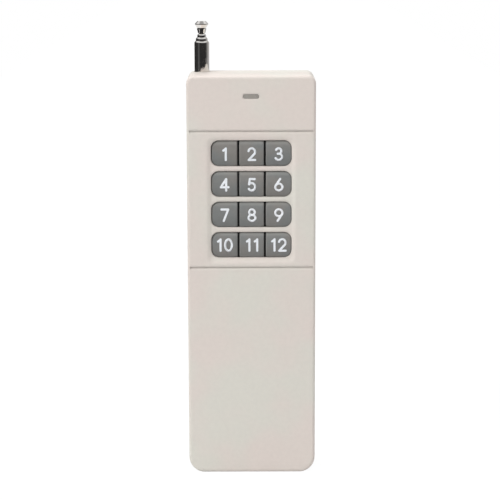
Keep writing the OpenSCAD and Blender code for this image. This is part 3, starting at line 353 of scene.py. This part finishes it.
def grown(name, mesh, tree, values):
    """The plain mesh that a geometry nodes tree grows from a mesh."""
    seed = bpy.data.objects.new(name, mesh)
    bpy.context.scene.collection.objects.link(seed)
    live = seed.modifiers.new(name, "NODES")
    live.node_group = tree
    for socket, value in values.items():
        live[socket] = value
    bpy.context.view_layer.update()
    result = bpy.data.meshes.new_from_object(seed.evaluated_get(bpy.context.evaluated_depsgraph_get()))
    result.name = name
    bpy.data.objects.remove(seed)
    piece = bpy.data.objects.new(name, result)
    bpy.context.scene.collection.objects.link(piece)
    return piece


def stroke_mesh(lines, middle=None):
    """Centre lines in mm as edges round their own middle, or round the middle given; a loop closes."""
    points, edges = [], []
    for line in lines:
        looped = (Vector(line[0]) - Vector(line[-1])).length < 0.01
        line = line[:-1] if looped else line
        first, last = len(points), len(points) + len(line) - 1
        edges += [(step, step + 1) for step in range(first, last)] + ([(last, first)] if looped else [])
        points += line
    middle = middle or [(min(way) + max(way)) / 2 for way in zip(*points)]
    mesh = bpy.data.meshes.new("strokes")
    mesh.from_pydata([((x - middle[0]) * mm, (y - middle[1]) * mm, 0) for x, y in points], edges, [])
    return mesh


def press_on(print_mesh, carrier, lift):
    """Lays a print onto the face below it, seen from the front, lift mm above that face."""
    for vertex in print_mesh.vertices:
        start = Vector((vertex.co.x, -50 * mm, vertex.co.z))
        hit, spot = carrier.ray_cast(start, Vector((0, 1, 0)))[:2]
        if hit:
            vertex.co.y += spot.y - lift * mm


ink = moulded("numeral_ink", tone(240, 242, 246), tone(232, 236, 241), 0.42, grain=0.08, depth=0.003,
              dust_and_shade=0.0, wear=0.0)
numeral_tree, stroke_socket, ink_socket = ink_tree(ink)
for number in range(1, 13):
    low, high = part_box(f"key_{number:02}")
    lines = [[(x + shift, y) for x, y in line] for digit, shift in zip(str(number), SHIFTS.get(
        number, (0,))) for line in DIGITS[digit]]
    numeral = grown(f"numeral_{number:02}", stroke_mesh(lines), numeral_tree,
                    {stroke_socket: STROKE * mm, ink_socket: INK * mm})
    row, column = divmod(number - 1, 3)
    centre = Vector((PRINT_X[column] * mm, 0, (low.z + high.z) / 2 - PRINT_DROP[row] * mm))
    numeral.data.transform(Matrix.Translation(centre) @ Matrix.Rotation(radians(90), 4, "X"))
    press_on(numeral.data, solids[f"key_{number:02}"], INK / 4)
    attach(numeral, f"key_{number:02}")


# --- Key frame ----------------------------------------------------------------------------------
# A black moulded plate on the board's posts, seen as the dark lines between the keys. Its thin fins
# keep neighbouring keys apart, and it stays matt and clean because nothing touches it.

# Its black fins in the gaps between the keys are partly a painted shade: they make the gaps black, where
# shade alone leaves them dark grey.
black_abs = moulded("black_abs", tone(36, 36, 38), tone(30, 30, 33), 0.55, grain=0.15, wear=0.05,
                    dust_and_shade=0.1)
dress(["key_frame"], black_abs)


# --- Indicator ----------------------------------------------------------------------------------
# A small light guide of smoke-grey plastic sits in its slot, with the lamp's red dome behind it.

# Its ends and corners in the slot are darkened strongly: partly dust, partly painted shade.
guide = moulded("smoke_light_guide", tone(163, 158, 151), tone(170, 166, 160), 0.3, grain=0.4,
                depth=0.002, drift=2.5, dust_and_shade=0.5, wear=0.3, edge=0.15, Transmission_Weight=0.12)
dress(["indicator_lens"], guide)

red_epoxy = moulded("red_epoxy", tone(186, 26, 20), tone(160, 18, 16), 0.12, grain=1.5, depth=0.01,
                    drift=3.0, wear=0.05, dust_and_shade=0.0, Transmission_Weight=0.45, Coat_Weight=0.4)
dress(["indicator_lamp"], red_epoxy)


# --- Circuit board ------------------------------------------------------------------------------
# Glass-fibre board under a green solder mask, with the copper tracks raised beneath it. The leads
# of all its parts stand in small bright cones of solder.

def plated(name, colour, second, roughness, grain=0.3, stretch=None, depth=0.002, tarnish=0.5,
           smudge=0.08, wear=0.3, **sockets):
    """Bare or plated metal: tarnish between two shades, smudged gloss, bright edges, drawn grain."""
    material, tree, shader, place = new_material(name, roughness, 1.0, **sockets)
    patch = stepped(tree, noise(tree, place, 4.0, 4), 0.42, 0.72, 0.0, tarnish)
    colour = blended(tree, patch, colour, second)
    worn, rounded = edge_share(tree, 0.06 * mm)
    colour = blended(tree, math(tree, "MULTIPLY", worn, wear), colour, tone(236, 234, 230))
    tree.links.new(colour, shader.inputs["Base Color"])
    gloss = stepped(tree, noise(tree, place, 2.2, 3), 0.35, 0.75, roughness, roughness + smudge)
    tree.links.new(gloss, shader.inputs["Roughness"])
    bump = add_node(tree, "ShaderNodeBump", {"Height": noise(tree, place, grain, 2, stretch),
                                             "Strength": 0.4, "Distance": depth * mm})
    tree.links.new(bump.outputs[0], shader.inputs["Normal"])
    return material


def solder_mask(name, colour, second):
    """Glossy green mask over the glass weave, with the bare laminate along the board's cut edges."""
    material, tree, shader, place = new_material(name, 0.32, Coat_Weight=0.25)
    colour = blended(tree, stepped(tree, noise(tree, place, 9.0), 0.35, 0.65), colour, second)
    warp, _, weft = add_node(tree, "ShaderNodeSeparateXYZ", {0: place}).outputs
    weave = math(tree, "MULTIPLY", math(tree, "SINE", math(tree, "DIVIDE", warp, 0.09 * mm)),
                 math(tree, "SINE", math(tree, "DIVIDE", weft, 0.09 * mm)))
    shade = stepped(tree, weave, -1.0, 1.0, 0.94, 1.06)
    colour = blended(tree, 1.0, colour, add_node(tree, "ShaderNodeCombineColor", {
        0: shade, 1: shade, 2: shade}).outputs[0], "MULTIPLY")
    worn, rounded = edge_share(tree, 0.1 * mm)
    colour = blended(tree, math(tree, "MULTIPLY", worn, 0.6), colour, tone(176, 166, 120))
    tree.links.new(colour, shader.inputs["Base Color"])
    tree.links.new(stepped(tree, noise(tree, place, 3.0, 3), 0.3, 0.7, 0.25, 0.42),
                   shader.inputs["Roughness"])
    bump = add_node(tree, "ShaderNodeBump", {"Height": weave, "Strength": 0.3, "Distance": 0.01 * mm})
    tree.links.new(bump.outputs[0], shader.inputs["Normal"])
    return material


def solder_tree(solder):
    """Geometry nodes that set a hollow-sided cone of solder on every point."""
    tree = bpy.data.node_groups.new("solder_cones", "GeometryNodeTree")
    feet = tree.interface.new_socket("Feet", in_out="INPUT", socket_type="NodeSocketGeometry")
    spread = tree.interface.new_socket("Spread", in_out="INPUT", socket_type="NodeSocketFloat")
    tree.interface.new_socket("Joints", in_out="OUTPUT", socket_type="NodeSocketGeometry")
    given = add_node(tree, "NodeGroupInput").outputs
    rings = []
    for low, high, foot, top in ((0.0, 0.45, 1.0, 0.62), (0.4, 1.1, 0.64, 0.45)):
        sizes = {"Vertices": 20}
        for socket, share in (("Radius Bottom", foot), ("Radius Top", top), ("Depth", high - low)):
            sizes[socket] = add_node(tree, "ShaderNodeMath", {0: given["Spread"], 1: share},
                                     operation="MULTIPLY").outputs[0]
        cone = add_node(tree, "GeometryNodeMeshCone", sizes).outputs[0]
        lift = add_node(tree, "ShaderNodeMath", {0: given["Spread"], 1: low},
                        operation="MULTIPLY").outputs[0]
        lift = add_node(tree, "ShaderNodeCombineXYZ", {2: lift}).outputs[0]
        rings.append(add_node(tree, "GeometryNodeTransform", {0: cone, "Translation": lift}).outputs[0])
    joined = add_node(tree, "GeometryNodeJoinGeometry")
    for ring in rings:
        tree.links.new(ring, joined.inputs[0])
    cones = add_node(tree, "GeometryNodeInstanceOnPoints", {"Points": given["Feet"],
                                                            "Instance": joined.outputs[0]}).outputs[0]
    cones = add_node(tree, "GeometryNodeRealizeInstances", {0: cones}).outputs[0]
    cones = add_node(tree, "GeometryNodeSetMaterial", {"Geometry": cones, "Material": solder}).outputs[0]
    add_node(tree, "NodeGroupOutput", {0: cones})
    return tree, spread.identifier


def feet_of(names, level):
    """The places where the leads of these nodes stand on the board's face at this y."""
    spots = []
    for name in names:
        for vertex in solids[name].data.vertices:
            if abs(vertex.co.y - level) > 0.03 * mm:
                continue
            near = [spot for spot in spots if (spot[0] - vertex.co).length < 1.25 * mm]
            near[0].append(vertex.co) if near else spots.append([vertex.co])
    return [sum(spot, Vector()) / len(spot) for spot in spots]


def point_mesh(name, points):
    mesh = bpy.data.meshes.new(name)
    mesh.from_pydata(points, [], [])
    return mesh


dress(["main_board"], solder_mask("green_solder_mask", tone(20, 88, 50), tone(16, 78, 44)))
solder = plated("solder", tone(206, 207, 205), tone(176, 176, 173), 0.42, grain=0.25, depth=0.008)
solder_cones, spread_socket = solder_tree(solder)
board_low, board_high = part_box("main_board")


def routed(starts, ends, run):
    """Tracks from starts to ends in the order of their heights: straight, aslant and straight again."""
    pairs = zip(sorted(starts, key=lambda spot: spot.z), sorted(ends, key=lambda spot: spot.z))
    return [[(start.x / mm, start.z / mm), (start.x / mm - run, start.z / mm),
             (end.x / mm + run, end.z / mm), (end.x / mm, end.z / mm)] for start, end in pairs]


back = board_high.y
pins, resistor_feet = feet_of(["encoder_pins"], back), feet_of(["resistors"], back)
chip_x = sum(pin.x for pin in pins) / len(pins)
rank_x = sum(foot.x for foot in resistor_feet) / len(resistor_feet)
near_pins = sorted((pin for pin in pins if pin.x > chip_x), key=lambda pin: pin.z)
far_pins = sorted((pin for pin in pins if pin.x < chip_x), key=lambda pin: pin.z)
bus = sorted((foot for foot in resistor_feet if foot.x > rank_x), key=lambda foot: foot.z)
others = feet_of(["ceramic_capacitors", "tuning_coil", "rf_transistor"], back)
beyond = [foot for foot in others if foot.x < far_pins[0].x - 2 * mm]
tracks = routed([foot for foot in resistor_feet if foot.x < rank_x], near_pins[1:8], 0.9)
tracks += routed(far_pins[-len(beyond):], beyond, 0.7)
tracks.append([(foot.x / mm, foot.z / mm) for foot in (bus[0], bus[-1])])
TRACK, COPPER = 0.7, 0.07
masked_copper = solder_mask("masked_copper", tone(54, 138, 82), tone(46, 126, 74))
track_tree, width_socket, depth_socket = ink_tree(masked_copper)
board_tracks = grown("board_tracks", stroke_mesh(tracks, (0, 0)), track_tree,
                     {width_socket: TRACK * mm, depth_socket: COPPER * mm})
board_tracks.data.transform(Matrix.Translation((0, back, 0)) @ Matrix.Rotation(radians(90), 4, "X"))
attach(board_tracks, "root")
SOLDERED = {
    "solder_back": (["encoder_pins", "resonator_can", "rf_transistor", "tuning_coil", "supply_capacitor",
                     "resistors", "ceramic_capacitors"], board_high.y, -90, 0.62),
    "solder_leads": (["battery_lead_red", "battery_lead_black"], board_high.y, -90, 1.15),
    "solder_lamp": (["indicator_lamp"], board_low.y, 90, 0.62),
}
for name, (leads, level, turn, spread) in SOLDERED.items():
    stand = Matrix.Translation((0, level, 0)) @ Matrix.Rotation(radians(turn), 4, "X")
    feet = [stand.inverted() @ foot for foot in feet_of(leads, level)]
    joints = grown(name, point_mesh(name, feet), solder_cones, {spread_socket: spread * mm})
    joints.data.transform(stand)
    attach(joints, "root")


# --- Switches -----------------------------------------------------------------------------------
# Twelve push switches: a black body, a pressed tinplate cover, a snap dome of spring steel and a
# black plunger whose end is polished by the key's stem.

switch_black = moulded("switch_black", tone(40, 40, 41), tone(33, 34, 36), 0.42, grain=0.2, wear=0.1)
dress(["switch_bodies"] + [f"plunger_{number:02}" for number in range(1, 13)], switch_black)
tinplate = plated("tinplate", tone(198, 198, 195), tone(166, 163, 156), 0.26, grain=0.2,
                  stretch=(1, 1, 8), tarnish=0.6)
dress(["switch_covers", "encoder_pins"], tinplate)
spring_steel = plated("spring_steel", tone(205, 204, 200), tone(178, 172, 158), 0.16, grain=0.3,
                      stretch=(6, 1, 1), tarnish=0.4)
dress(["switch_domes"], spring_steel)


# --- Encoder, transistor and resonator ----------------------------------------------------------
# The chip and the transistor are moulded in black resin with a fine sparkle of filler. The resonator
# is a drawn and nickel-plated can.

resin = moulded("black_resin", tone(43, 43, 45), tone(36, 37, 40), 0.48, grain=0.06, depth=0.01,
                drift=5.0, wear=0.15, edge=0.1)
dress(["encoder_chip", "rf_transistor"], resin)
drawn_can = plated("nickel_can", tone(204, 203, 199), tone(176, 170, 156), 0.2, grain=0.15,
                   stretch=(1, 6, 1), tarnish=0.45)
dress(["resonator_can"], drawn_can)


# --- Tuning coil --------------------------------------------------------------------------------
# A ferrite rod under green lacquer with one layer of copper wire wound on its middle.

def helix_tree(wire):
    """Geometry nodes that wind a wire round each point: turns, radius, length and the wire's radius."""
    tree = bpy.data.node_groups.new(f"helix_of_{wire.name}", "GeometryNodeTree")
    tree.interface.new_socket("Places", in_out="INPUT", socket_type="NodeSocketGeometry")
    sockets = [tree.interface.new_socket(name, in_out="INPUT", socket_type="NodeSocketFloat")
               for name in ("Turns", "Radius", "Length", "Wire")]
    tree.interface.new_socket("Winding", in_out="OUTPUT", socket_type="NodeSocketGeometry")
    given = add_node(tree, "NodeGroupInput").outputs
    helix = add_node(tree, "GeometryNodeCurveSpiral", {
        "Resolution": 24, "Rotations": given["Turns"], "Start Radius": given["Radius"],
        "End Radius": given["Radius"], "Height": given["Length"]}).outputs[0]
    section = add_node(tree, "GeometryNodeCurvePrimitiveCircle", {
        "Resolution": 8, "Radius": given["Wire"]}).outputs[0]
    wound = add_node(tree, "GeometryNodeCurveToMesh", {
        "Curve": helix, "Profile Curve": section, "Fill Caps": True}).outputs[0]
    placed = add_node(tree, "GeometryNodeInstanceOnPoints", {"Points": given["Places"],
                                                             "Instance": wound}).outputs[0]
    placed = add_node(tree, "GeometryNodeRealizeInstances", {0: placed}).outputs[0]
    placed = add_node(tree, "GeometryNodeSetMaterial", {"Geometry": placed, "Material": wire}).outputs[0]
    add_node(tree, "NodeGroupOutput", {0: placed})
    return tree, [socket.identifier for socket in sockets]


lacquer = moulded("green_lacquer", tone(52, 112, 72), tone(42, 98, 64), 0.22, grain=0.7, depth=0.02,
                  drift=4.0, wear=0.1, Coat_Weight=0.5)
dress(["tuning_coil"], lacquer)
copper = plated("enamelled_copper", tone(216, 138, 90), tone(186, 108, 66), 0.2, grain=0.2, smudge=0.05,
                Coat_Weight=0.6)
low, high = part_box("tuning_coil")
coil_r = (high.x - low.x) / 2
coil_x, coil_y = (low.x + high.x) / 2, high.y - coil_r
WIRE = 0.15
winding_tree, winding_sockets = helix_tree(copper)
winding_h = (high.z - low.z) * 0.42
winding_sizes = (winding_h / (2.1 * WIRE * mm), coil_r * 0.9 + WIRE / 2 * mm, winding_h, WIRE * mm)
winding = grown("coil_winding", point_mesh("coil_winding", [
    (coil_x, coil_y, (low.z + high.z - winding_h) / 2)]), winding_tree,
    dict(zip(winding_sockets, winding_sizes)))
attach(winding, "root")


# --- Resistors and capacitors -------------------------------------------------------------------
# Seven resistors in beige lacquer, each with three colour rings and a gold one. The electrolytic
# capacitor has a blue sleeve and a bare end; the ceramic ones are dipped in orange-brown resin.

def ringed_lacquer():
    material, tree, shader, place = new_material("ringed_lacquer", 0.28, Coat_Weight=0.3)
    low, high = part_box("resistors")
    apart, margin, middle = 3.6 * mm, 0.8 * mm, (low.x + high.x) / 2
    x, _, z = add_node(tree, "ShaderNodeSeparateXYZ", {0: place}).outputs
    which = math(tree, "FLOOR", math(tree, "DIVIDE", math(tree, "SUBTRACT", z, low.z - margin), apart))
    mottle = stepped(tree, noise(tree, place, 0.9, 3), 0.3, 0.7)
    colour = blended(tree, mottle, tone(219, 200, 166), tone(205, 184, 148))
    for ring, shift in enumerate((-1.3, -0.55, 0.2, 1.3)):
        away = math(tree, "ABSOLUTE", math(tree, "SUBTRACT", x, middle + shift * mm))
        share = stepped(tree, away, 0.2 * mm, 0.27 * mm, 1.0, 0.0)
        code = tone(176, 140, 62)
        if ring < 3:
            seed = math(tree, "ADD", which, 17.3 * ring)
            pick = add_node(tree, "ShaderNodeTexWhiteNoise", {"W": seed}, noise_dimensions="1D")
            ramp = add_node(tree, "ShaderNodeValToRGB", {0: pick.outputs["Value"]})
            ramp.color_ramp.interpolation = "CONSTANT"
            stops = (tone(88, 50, 28), tone(170, 32, 26), tone(222, 116, 34), tone(30, 28, 28),
                     tone(226, 196, 52), tone(96, 58, 134))
            for number, stop in enumerate(stops):
                spot = ramp.color_ramp.elements[0] if number == 0 else ramp.color_ramp.elements.new(
                    number / len(stops))
                spot.color = stop
            ramp.color_ramp.elements[-1].color = stops[-1]
            code = ramp.outputs[0]
        colour = blended(tree, share, colour, code)
    bare = stepped(tree, math(tree, "ABSOLUTE", math(tree, "SUBTRACT", x, middle)),
                   2.08 * mm, 2.12 * mm)
    tree.links.new(blended(tree, bare, colour, tone(196, 195, 190)), shader.inputs["Base Color"])
    tree.links.new(bare, shader.inputs["Metallic"])
    bump = add_node(tree, "ShaderNodeBump", {"Height": noise(tree, place, 0.7), "Strength": 0.4,
                                             "Distance": 0.02 * mm})
    tree.links.new(bump.outputs[0], shader.inputs["Normal"])
    return material


def sleeve():
    material, tree, shader, place = new_material("blue_sleeve", 0.3, Coat_Weight=0.2)
    low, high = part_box("supply_capacitor")
    x, y, z = add_node(tree, "ShaderNodeSeparateXYZ", {0: place}).outputs
    middle = (low.x + high.x) / 2
    stripe = stepped(tree, x, middle + 1.9 * mm, middle + 2.0 * mm)
    colour = blended(tree, stepped(tree, noise(tree, place, 1.6, 3), 0.3, 0.7), tone(38, 52, 104),
                     tone(30, 43, 92))
    colour = blended(tree, stripe, colour, tone(196, 200, 206))
    reach = math(tree, "SQRT", math(tree, "ADD", math(tree, "POWER", math(
        tree, "SUBTRACT", x, middle), 2.0), math(tree, "POWER", math(
            tree, "SUBTRACT", z, (low.z + high.z) / 2), 2.0)))
    bare = math(tree, "MULTIPLY", stepped(tree, y, high.y - 0.3 * mm, high.y - 0.2 * mm),
                stepped(tree, reach, 1.9 * mm, 2.0 * mm, 1.0, 0.0))
    tree.links.new(blended(tree, bare, colour, tone(200, 200, 202)), shader.inputs["Base Color"])
    tree.links.new(bare, shader.inputs["Metallic"])
    scored = math(tree, "MINIMUM", math(tree, "ABSOLUTE", math(tree, "SUBTRACT", x, middle)),
                  math(tree, "ABSOLUTE", math(tree, "SUBTRACT", z, (low.z + high.z) / 2)))
    height = math(tree, "MULTIPLY", stepped(tree, scored, 0.08 * mm, 0.16 * mm), bare)
    bump = add_node(tree, "ShaderNodeBump", {"Height": height, "Strength": 0.8, "Distance": 0.1 * mm})
    tree.links.new(bump.outputs[0], shader.inputs["Normal"])
    return material


dress(["resistors"], ringed_lacquer())
dress(["supply_capacitor"], sleeve())
dipped = moulded("dipped_ceramic", tone(190, 112, 52), tone(172, 94, 42), 0.24, grain=0.8, depth=0.04,
                 drift=2.0, wear=0.1, Coat_Weight=0.4)
dress(["ceramic_capacitors"], dipped)


# --- Battery ------------------------------------------------------------------------------------
# A block battery in a printed steel jacket with bare rolled seams, and its snap connector in black
# vinyl with a red and a black lead. The marks on the can only tell the two terminals apart.

def jacket():
    material, tree, shader, place = new_material("battery_jacket", 0.32, 0.6, Coat_Weight=0.3)
    low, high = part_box("battery")
    z = add_node(tree, "ShaderNodeSeparateXYZ", {0: place}).outputs[2]
    band = stepped(tree, z, high.z - 15 * mm, high.z - 14.9 * mm)
    line = stepped(tree, math(tree, "ABSOLUTE", math(tree, "SUBTRACT", z, high.z - 15 * mm)),
                   0.5 * mm, 0.55 * mm, 1.0, 0.0)
    seam = stepped(tree, math(tree, "ABSOLUTE", math(tree, "SUBTRACT", z, (low.z + high.z) / 2)),
                   (high.z - low.z) / 2 - 0.75 * mm, (high.z - low.z) / 2 - 0.68 * mm)
    colour = blended(tree, band, tone(172, 175, 172), tone(50, 76, 104))
    colour = blended(tree, line, colour, tone(214, 212, 204))
    scuff = stepped(tree, noise(tree, place, 2.6, 6, (5, 1, 0.3)), 0.64, 0.74, 0.0, 0.35)
    colour = blended(tree, scuff, colour, tone(206, 205, 200))
    colour = blended(tree, seam, colour, tone(188, 187, 182))
    tree.links.new(colour, shader.inputs["Base Color"])
    tree.links.new(stepped(tree, noise(tree, place, 5.0, 3), 0.3, 0.7, 0.24, 0.42),
                   shader.inputs["Roughness"])
    bump = add_node(tree, "ShaderNodeBump", {"Height": noise(tree, place, 1.0), "Strength": 0.3,
                                             "Distance": 0.02 * mm})
    tree.links.new(bump.outputs[0], shader.inputs["Normal"])
    return material


dress(["battery"], jacket())
PLUS = [[(-1, 0), (1, 0)], [(0, -1), (0, 1)]]
MINUS = [[(-1, 0), (1, 0)]]
low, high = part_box("battery")
STUD_X, MARK_W = 6.35, 0.6
for name, strokes, x in (("plus_mark", PLUS, -STUD_X), ("minus_mark", MINUS, STUD_X)):
    mark = grown(name, stroke_mesh(strokes), numeral_tree, {stroke_socket: MARK_W * mm,
                                                            ink_socket: INK * mm})
    centre = Vector((x * mm, high.y + INK / 4 * mm, high.z - 5 * mm))
    mark.data.transform(Matrix.Translation(centre) @ Matrix.Rotation(radians(90), 4, "X"))
    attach(mark, "root")
contact_nickel = plated("contact_nickel", tone(208, 206, 200), tone(172, 162, 142), 0.2, grain=0.2,
                        tarnish=0.5)
dress(["battery_terminals", "snap_contacts"], contact_nickel)
vinyl = moulded("black_vinyl", tone(34, 34, 35), tone(28, 28, 30), 0.38, grain=0.35, depth=0.02,
                drift=6.0, wear=0.08, dust_and_shade=0.25)
dress(["battery_snap"], vinyl)
red_pvc = moulded("red_pvc", tone(188, 34, 28), tone(172, 26, 24), 0.3, grain=0.4, depth=0.01,
                  drift=5.0, wear=0.05)
dress(["battery_lead_red"], red_pvc)
black_pvc = moulded("black_pvc", tone(30, 30, 31), tone(24, 24, 26), 0.3, grain=0.4, depth=0.01,
                    drift=5.0, wear=0.05)
dress(["battery_lead_black"], black_pvc)


# --- Door pad -----------------------------------------------------------------------------------
# A strip of black closed-cell foam glued to the door, which keeps the battery from rattling.

def cell_foam():
    material, tree, shader, place = new_material("closed_cell_foam", 0.92)
    cells = add_node(tree, "ShaderNodeTexVoronoi", {"Vector": place, "Scale": 1 / (0.45 * mm)})
    depth = stepped(tree, cells.outputs["Distance"], 0.1, 0.6)
    # The cells are painted darker where they are deepest, as painted shade in their hollows.
    colour = blended(tree, depth, tone(76, 76, 79), tone(40, 40, 43))
    press = stepped(tree, noise(tree, place, 7.0, 2), 0.35, 0.7, 0.0, 0.35)
    tree.links.new(blended(tree, press, colour, tone(54, 54, 56)), shader.inputs["Base Color"])
    bump = add_node(tree, "ShaderNodeBump", {"Height": depth, "Strength": 0.8, "Distance": 0.12 * mm},
                    invert=True)
    tree.links.new(bump.outputs[0], shader.inputs["Normal"])
    return material


dress(["door_pad"], cell_foam())


# --- Antenna ------------------------------------------------------------------------------------
# Four drawn brass sections under bright nickel plate, with fine polishing lines along them, and a
# turned knob. Smudges dull the tubes' gloss a little in patches. Its plug and strip are plain brass.

def nickel(name, stretch, grain, depth, smudge):
    return plated(name, tone(226, 223, 220), tone(206, 198, 186), 0.07, grain=grain, stretch=stretch,
                  depth=depth, tarnish=0.35, smudge=smudge, wear=0.0)


drawn_nickel = nickel("drawn_nickel", (8, 8, 0.15), 0.9, 0.0012, 0.09)
turned_nickel = nickel("turned_nickel", (0.1, 0.1, 5), 0.9, 0.002, 0.05)
dress(["antenna_tube_1", "antenna_tube_2", "antenna_tube_3"], drawn_nickel)
dress(["antenna_tip"], turned_nickel)
brass = plated("plain_brass", tone(206, 176, 108), tone(168, 134, 74), 0.24, grain=0.3,
               stretch=(5, 1, 1), tarnish=0.7)
dress(["antenna_foot", "antenna_bracket"], brass)


# --- Screws -------------------------------------------------------------------------------------
# Zinc-plated screws: four join the shells from the back, four hold the board and one the antenna.
# Their rolled threads bite into the plastic and the brass.

def pieces_of(name):
    """The low and the high corner of each separate solid in a CAD node."""
    mesh = solids[name].data
    spots = [tuple(round(way * 1e6) for way in vertex.co) for vertex in mesh.vertices]
    owner = {spot: spot for spot in spots}

    def first(spot):
        while owner[spot] != spot:
            spot = owner[spot]
        return spot

    for edge in mesh.edges:
        one, other = (first(spots[end]) for end in edge.vertices)
        owner[one] = other
    solid = {}
    for vertex, spot in zip(mesh.vertices, spots):
        solid.setdefault(first(spot), []).append(vertex.co)
    return [(Vector(map(min, zip(*group))), Vector(map(max, zip(*group)))) for group in solid.values()]


zinc = plated("zinc_plate", tone(168, 170, 173), tone(138, 136, 128), 0.3, grain=0.2, stretch=(1, 6, 1),
              tarnish=0.6, depth=0.006, wear=0.5)
dress(["case_screws", "board_screws", "antenna_screw"], zinc)
thread_tree, thread_sockets = helix_tree(zinc)
THREAD_STEP, THREAD_R = 0.8, 0.11
# Each kind of screw: its shank's radius, and the shares of its length where the thread starts and ends
THREADS = {"case_screws": (0.9, 0.45, 0.94), "board_screws": (0.78, 0.45, 0.9),
           "antenna_screw": (1.15, 0.45, 0.85)}
for name, (shank_r, start, end) in THREADS.items():
    boxes = pieces_of(name)
    upright = name == "antenna_screw"
    reach = boxes[0][1] - boxes[0][0]
    reach = reach.z if upright else reach.y
    turn = Matrix() if upright else Matrix.Rotation(radians(90), 4, "X")
    places = []
    for low, high in boxes:
        middle = (low + high) / 2
        head = Vector((middle.x, middle.y, low.z)) if upright else Vector((middle.x, high.y, middle.z))
        places.append(turn.inverted() @ head + Vector((0, 0, reach * start)))
    thread_h = reach * (end - start)
    thread_sizes = (thread_h / (THREAD_STEP * mm), shank_r * mm, thread_h, THREAD_R * mm)
    threads = grown(f"{name}_threads", point_mesh(name, places), thread_tree,
                    dict(zip(thread_sockets, thread_sizes)))
    threads.data.transform(turn)
    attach(threads, "root")
